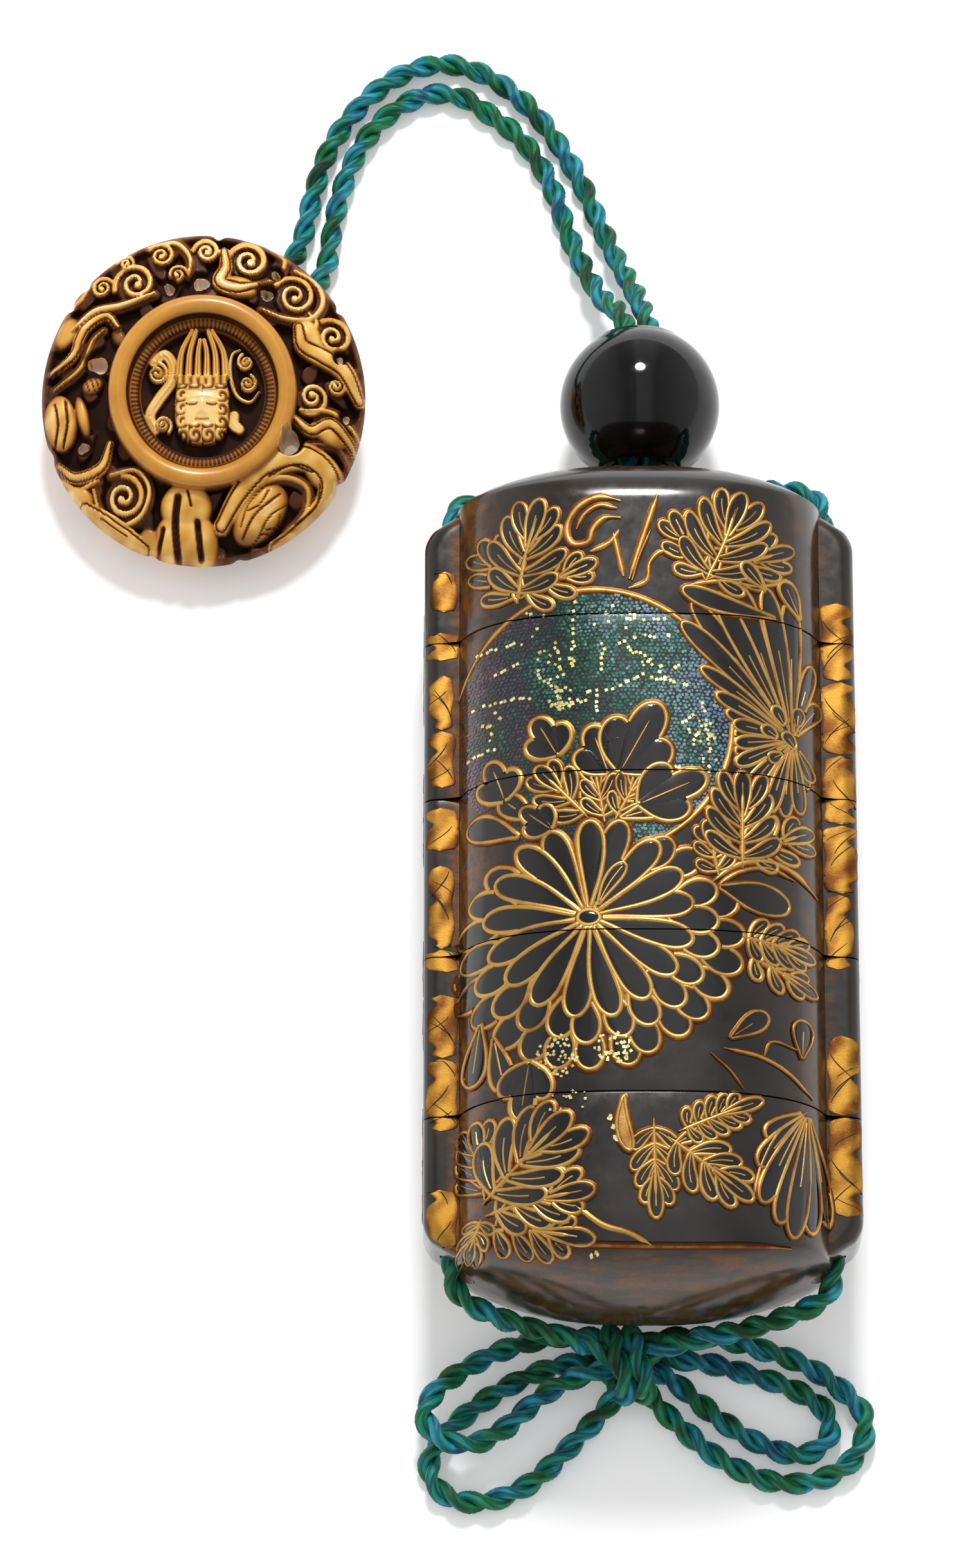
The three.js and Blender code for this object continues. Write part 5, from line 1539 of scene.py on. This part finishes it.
def add_head(hx, hy, z, stain_and_shade):
    """The small bearded head, over plan places measured from its middle."""
    rho = np.abs(hx / 3.15) ** 3.0 + np.where(hy > 0, np.abs(hy / 3.5) ** 7, np.abs(hy / 3.75) ** 2.3)
    brow = 0.14 * np.exp(-((hy - 1.55 + 0.09 * hx ** 2) / 0.26) ** 2) * smooth((2.1 - np.abs(hx)) / 0.5)
    nose = 0.26 * np.exp(-(hx / 0.4) ** 2) * smooth((hy + 0.7) / 0.7) * smooth((1.6 - hy) / 0.9)
    face = brow + nose + 0.1 * bump_at(np.abs(hx) - 0.42, hy + 0.3, 0.24, 0.24)
    slit = 0
    for eye in (1, -1):
        ex = hx - eye * 1.15
        face = face + 0.2 * bump_at(ex, hy - 0.85, 0.62, 0.34)
        lid_line = hy - 0.68 + 0.16 * (1 - (ex / 0.62) ** 2)
        slit = slit + np.exp(-(lid_line / 0.09) ** 2) * (np.abs(ex) < 0.66)
    mouth = np.exp(-((hy + 1.1 - 0.10 * hx ** 2) / 0.1) ** 2) * (np.abs(hx) < 0.8)
    beard = np.maximum.reduce([smooth((-hy - 1.45) / 0.3), smooth((np.abs(hx) - 1.75) / 0.3),
                               smooth((hy - 2.1) / 0.25)])
    lock_x, lock_y = (hx + 9.0) % 1.5 - 0.75, (hy + 9.3) % 1.45 - 0.72
    hair = 0.5 + 0.5 * np.sin(8.0 * np.hypot(lock_x, lock_y) + np.arctan2(lock_y, lock_x) + 0.6)
    head = MEDALLION_FLOOR + 0.8 + 1.35 * np.sqrt(np.clip(1 - rho, 0, 1)) ** 0.8
    head = head + face * (1 - beard) - 0.14 * slit - 0.14 * mouth + 0.2 * beard * hair
    # Eye slits, mouth, the gaps between the locks and the head's edge are darkened: staining and painted
    # shade.
    head_stain_and_shade = 0.8 * slit + 0.7 * mouth + beard * 0.75 * (1 - hair) ** 1.5 + 0.5 * smooth((rho - 0.8) / 0.2)
    z = np.where(rho < 1, np.maximum(z, head), z)
    return z, np.where(rho < 1, np.clip(head_stain_and_shade, 0, 1), stain_and_shade)


def add_cap(x, y, r, hx, z, stain_and_shade):
    """The tall ribbed cap over the head, with the band that it stands on."""
    beads = np.cos(hx * 7.4)
    band = smooth((0.62 - np.abs(y - 1.35)) / 0.12) * smooth((2.95 - np.abs(hx)) / 0.2)
    z = np.where(band > 0.05, np.maximum(z, MEDALLION_FLOOR + (2.1 + 0.1 * beads) * band), z)
    # Darker between the band's beads: staining and painted shade.
    stain_and_shade = np.where(band > 0.3, 0.12 + 0.6 * (0.5 - 0.5 * beads) ** 2, stain_and_shade)
    opening = np.hypot(x + 0.1, (y - 7.4) / 1.5)
    for i in np.arange(-2.5, 3):
        tip = (-0.1 + 0.46 * i, 6.9 if abs(i) > 1 else 5.9)
        gap, along = distance_to(x, y, [(-0.05 + 1.06 * i, 1.95), (-0.05 + 0.94 * i, 4.6), tip])
        half = 0.5 * (1 - 0.42 * along)
        rib = np.sqrt(np.clip(1 - (gap / half) ** 2, 0, 1))
        split = 0.5 * np.exp(-(gap / 0.1) ** 2)
        top = MEDALLION_FLOOR + 2.1 * rib ** 0.6 - 0.22 * along - 0.3 * split
        on = (gap < half) & (r < 7.35) & (opening > 0.55)
        z = np.where(on, np.maximum(z, top), z)
        # Each rib darker at its edges and in its split, light along its crest: staining, painted shade and
        # painted highlight.
        stain_and_shade = np.where(on, np.minimum(stain_and_shade, np.maximum(0.85 * (1 - rib ** 0.8), split)), stain_and_shade)
    return z, stain_and_shade


def netsuke_front(x, y):
    """Height, staining and painted shade (0 rubbed, pale ivory on the tops to 1 dark ground in the depths)
    and amber of the carved face over plan places.
    """
    r = np.hypot(x, y)
    crown = np.interp(r, *zip(*CROWN))
    ground = crown - 1.9 * smooth((r - 10.2) / 0.7) * smooth((18.3 - r) / 1.2) - 0.1
    share, cut, broad = cloud_relief(x, y, r)
    z = ground + (crown + 0.15 - ground) * share - cut
    # Staining and painted shade: the lower a place, the darker; cuts are darkened too.
    stain_and_shade = 1 - smooth((share - 0.22) / 0.74)
    sway = 0.5 + 0.5 * np.sin(1.7 * x + 1.1 * np.sin(1.3 * y)) * np.cos(1.2 * y + 0.6 * np.sin(1.9 * x))
    stain_and_shade = stain_and_shade + broad * (0.03 + 0.22 * sway) * (1 - stain_and_shade)
    stain_and_shade = np.maximum(stain_and_shade, smooth(cut / SOFT_EDGE) * 0.85)
    rim = smooth((r - 17.6) / 0.7)
    stain_and_shade = stain_and_shade * (1 - rim) + rim * np.clip(0.62 * stain_and_shade + 0.2 * sway, 0, 1)
    z, stain_and_shade = add_rings(x, y, r, z, stain_and_shade)
    in_medallion = r < MEDALLION_RADIUS
    z = np.where(in_medallion, MEDALLION_FLOOR + 1.9 * share, z)
    stain_and_shade = np.where(in_medallion, 1 - smooth((share - 0.2) / 0.35), stain_and_shade)
    hx, hy = x + 0.05, y + 2.0
    z, stain_and_shade = add_head(hx, hy, z, stain_and_shade)
    z, stain_and_shade = add_cap(x, y, r, hx, z, stain_and_shade)
    amber = np.where((r < 11) & (r > 6.9), 1.0, 0.0)
    return z, np.clip(stain_and_shade, 0, 1), amber


def ivory_material():
    """Ivory, dark in its depths from staining and painted shade, and amber round the medallion."""
    n = Nodes("stained_ivory")
    stain_and_shade = n.attribute("stain_and_shade")
    amber = n.attribute("amber")
    place = n.add("TexCoord").outputs["Object"]
    cloud = n.noise(place, 260.0, 3.0, 0.55)
    grain = n.noise(place, 2600.0, 3.0, 0.6)
    depth = n.math("ADD", stain_and_shade, n.math("MULTIPLY", n.math("SUBTRACT", cloud, 0.5), 0.42))
    # Colour from pale ivory to the dark ground by staining and painted shade.
    stain_and_shade_colour = n.ramp(depth, [(0.0, (0.82, 0.55, 0.20)), (0.09, (0.74, 0.43, 0.09)), (0.25, (0.60, 0.28, 0.03)),
                          (0.44, (0.37, 0.13, 0.013)), (0.66, (0.135, 0.038, 0.007)),
                          (0.86, (0.045, 0.014, 0.005)), (1.0, (0.018, 0.006, 0.003))])
    ring = n.ramp(depth, [(0.0, (0.60, 0.285, 0.028)), (0.3, (0.42, 0.145, 0.011)),
                          (0.6, (0.15, 0.042, 0.005)), (0.95, (0.025, 0.009, 0.003))])
    tint = n.mix(amber, stain_and_shade_colour, ring)
    clean = n.math("SUBTRACT", 1.0, stain_and_shade)
    return n.finish(Base_Color=tint, Roughness=n.math("MULTIPLY_ADD", stain_and_shade, 0.42, 0.3),
                    Specular_IOR_Level=n.math("MULTIPLY_ADD", clean, 0.35, 0.1),
                    Coat_Weight=n.math("MULTIPLY", clean, 0.3), Coat_Roughness=0.14,
                    Normal=n.bump(grain, 0.12, 0.00006))


def cutter_plug(cx, cy, radius):
    """A tapered plug for one piercing, in the netsuke's own frame."""
    angle = np.linspace(0, 2 * math.pi, 25)[:-1]
    wobble = 1 + 0.16 * np.cos(2 * angle + cx) + 0.1 * np.cos(3 * angle + cy)
    rings = []
    for z, grow in ((-12, 0.9), (2.2, 0.95), (6.5, 1.1)):
        reach = radius * grow * wobble
        rings.append(np.stack([cx + reach * np.cos(angle), cy + reach * np.sin(angle),
                               np.full(len(angle), float(z))], 1))
    return skin(rings)


def piercing_cutter():
    verts, faces, base = [], [], 0
    for piercing in PIERCINGS:
        plug_verts, plug_faces = cutter_plug(*piercing)
        verts.append(plug_verts)
        faces += [[base + q for q in face] for face in plug_faces]
        base += len(plug_verts)
    cutter = new_object("cutter", place_netsuke(np.vstack(verts)), faces, [])
    fix_normals(cutter.data)
    return cutter


def place_netsuke(points):
    """From the netsuke's own frame to where it lies, tilted."""
    c, s = math.cos(NETSUKE_TILT), math.sin(NETSUKE_TILT)
    x, y, z = points[:, 0], points[:, 1] * NETSUKE_STRETCH, points[:, 2]
    turned = np.stack([x, c * y - s * z, s * y + c * z], 1)
    return turned + NETSUKE_CENTRE


def netsuke_rim(angle):
    """Scale of the outline round the rim, which is notched where forms part."""
    notch = 0
    for degrees, depth, wide in RIM_NOTCHES:
        away = (angle - math.radians(degrees) + math.pi) % (2 * math.pi) - math.pi
        notch = notch + depth * np.exp(-(away / wide) ** 2)
    return 1 - notch / NETSUKE_RADIUS


def netsuke_surface():
    """Vertices, faces, staining and painted shade, and amber of the whole carving, before it is pierced."""
    around = 620
    angle = np.linspace(0, 2 * math.pi, around, endpoint=False)
    rim = netsuke_rim(angle)
    rings, stains_and_shades, ambers = [], [], []
    for r in np.concatenate([np.linspace(0.12, 17.2, 106), np.linspace(17.34, NETSUKE_RADIUS, 9)]):
        edge = 1 - (1 - rim) * smooth((r - 15.5) / 2.5)
        x, y = r * edge * np.cos(angle), r * edge * np.sin(angle)
        z, stain_and_shade, amber = netsuke_front(x, y)
        keep = smooth((r - 18.0) / 0.5)
        z = z * (1 - keep) + np.interp(r, *zip(*CROWN)) * keep
        rings.append(np.stack([x, y, z], 1))
        stains_and_shades.append(stain_and_shade)
        ambers.append(amber)
    flute = 0.5 + 0.5 * np.sin(9 * angle + 2.2 * np.sin(3 * angle))
    for r, z in BELLY[1:-1]:
        fluted = flute * (r > 12)
        reach = r * (1 - (1 - rim) * 0.8) * (1 - 0.012 * fluted)
        rings.append(np.stack([reach * np.cos(angle), reach * np.sin(angle), np.full(around, z)], 1))
        # Flutes darker in their grooves: staining and painted shade.
        stains_and_shades.append(0.25 + 0.35 * fluted)
        ambers.append(np.full(around, 0.3))
    verts, faces = skin(rings)
    return verts, faces, np.concatenate([*stains_and_shades, [1.0, 0.3]]), np.concatenate([*ambers, [0.0, 0.3]])


def build_netsuke():
    verts, faces, stain_and_shade, amber = netsuke_surface()
    placed = place_netsuke(verts)
    placed[:, 2] = np.maximum(placed[:, 2], 0)
    obj = new_object("netsuke_carving", placed, faces, [ivory_material()],
                     attributes={"stain_and_shade": ("FLOAT", stain_and_shade), "amber": ("FLOAT", amber)})
    fix_normals(obj.data)
    cutter = piercing_cutter()
    cut_away(obj, [cutter], 70)
    bpy.data.objects.remove(cutter)
    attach(obj, "root")
    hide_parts("netsuke")


build_netsuke()

# ---------------------------------------------------------------- floor, light, camera

# Brightness of the room across X, from 0 at the far left to 1 at the far right.
SKY = ((0.0, 1.0), (0.2, 0.8), (0.33, 0.42), (0.43, 0.5), (0.47, 0.95), (0.6, 0.95), (0.68, 0.5), (0.8, 0.6),
       (1.0, 1.0))


def paper_floor():
    paper = Nodes("floor_paper").finish(Base_Color=(0.93, 0.93, 0.93, 1), Roughness=0.9,
                                        Specular_IOR_Level=0.1, Emission_Color=(1, 1, 1, 1),
                                        Emission_Strength=0.2)
    far = 3000
    floor = new_object("floor", [(-far, -far, 0), (far, -far, 0), (far, far, 0), (-far, far, 0)],
                       [(0, 1, 2, 3)], [paper], smooth=False)


def room_light():
    """A world that is bright at both sides and over the middle, as a room with windows is."""
    world = bpy.data.worlds.new("studio")
    world.use_nodes = True
    tree = world.node_tree
    split = tree.nodes.new("ShaderNodeSeparateXYZ")
    tree.links.new(tree.nodes.new("ShaderNodeTexCoord").outputs["Generated"], split.inputs[0])
    spread = tree.nodes.new("ShaderNodeMath")
    spread.operation = "MULTIPLY_ADD"
    tree.links.new(split.outputs[0], spread.inputs[0])
    spread.inputs[1].default_value = spread.inputs[2].default_value = 0.5
    ramp = tree.nodes.new("ShaderNodeValToRGB")
    tree.links.new(spread.outputs[0], ramp.inputs[0])
    elements = ramp.color_ramp.elements
    while len(elements) < len(SKY):
        elements.new(1.0)
    for element, (place, level) in zip(elements, SKY):
        element.position = place
        element.color = (*grey(level), 1)
    tree.links.new(ramp.outputs[0], tree.nodes["Background"].inputs[0])
    tree.nodes["Background"].inputs[1].default_value = 0.95
    bpy.context.scene.world = world


def key_light():
    data = bpy.data.lights.new("key", "AREA")
    data.shape = "DISK"
    data.size = 0.2
    data.energy = 7.0
    lamp = bpy.data.objects.new("key", data)
    lamp.location = (0.0, 0.62, 0.76)
    lamp.rotation_mode = "QUATERNION"
    lamp.rotation_quaternion = (-lamp.location).to_track_quat("-Z", "Y")
    bpy.context.scene.collection.objects.link(lamp)


def camera():
    """The photo's own view: a long lens, a little off the vertical."""
    data = bpy.data.cameras.new("camera")
    data.sensor_width = 36
    data.lens = 185.4
    data.clip_start, data.clip_end = 0.05, 20
    cam = bpy.data.objects.new("camera", data)
    tilt, distance = math.radians(19.5), 0.9
    target = Vector((-17.12, 12.60, 14.5)) * MM
    cam.location = target + distance * Vector((0, -math.sin(tilt), math.cos(tilt)))
    cam.rotation_euler = (tilt, 0, 0)
    bpy.context.scene.collection.objects.link(cam)
    bpy.context.scene.camera = cam


paper_floor()
room_light()
key_light()
camera()
bpy.context.scene.view_settings.view_transform = "Standard"
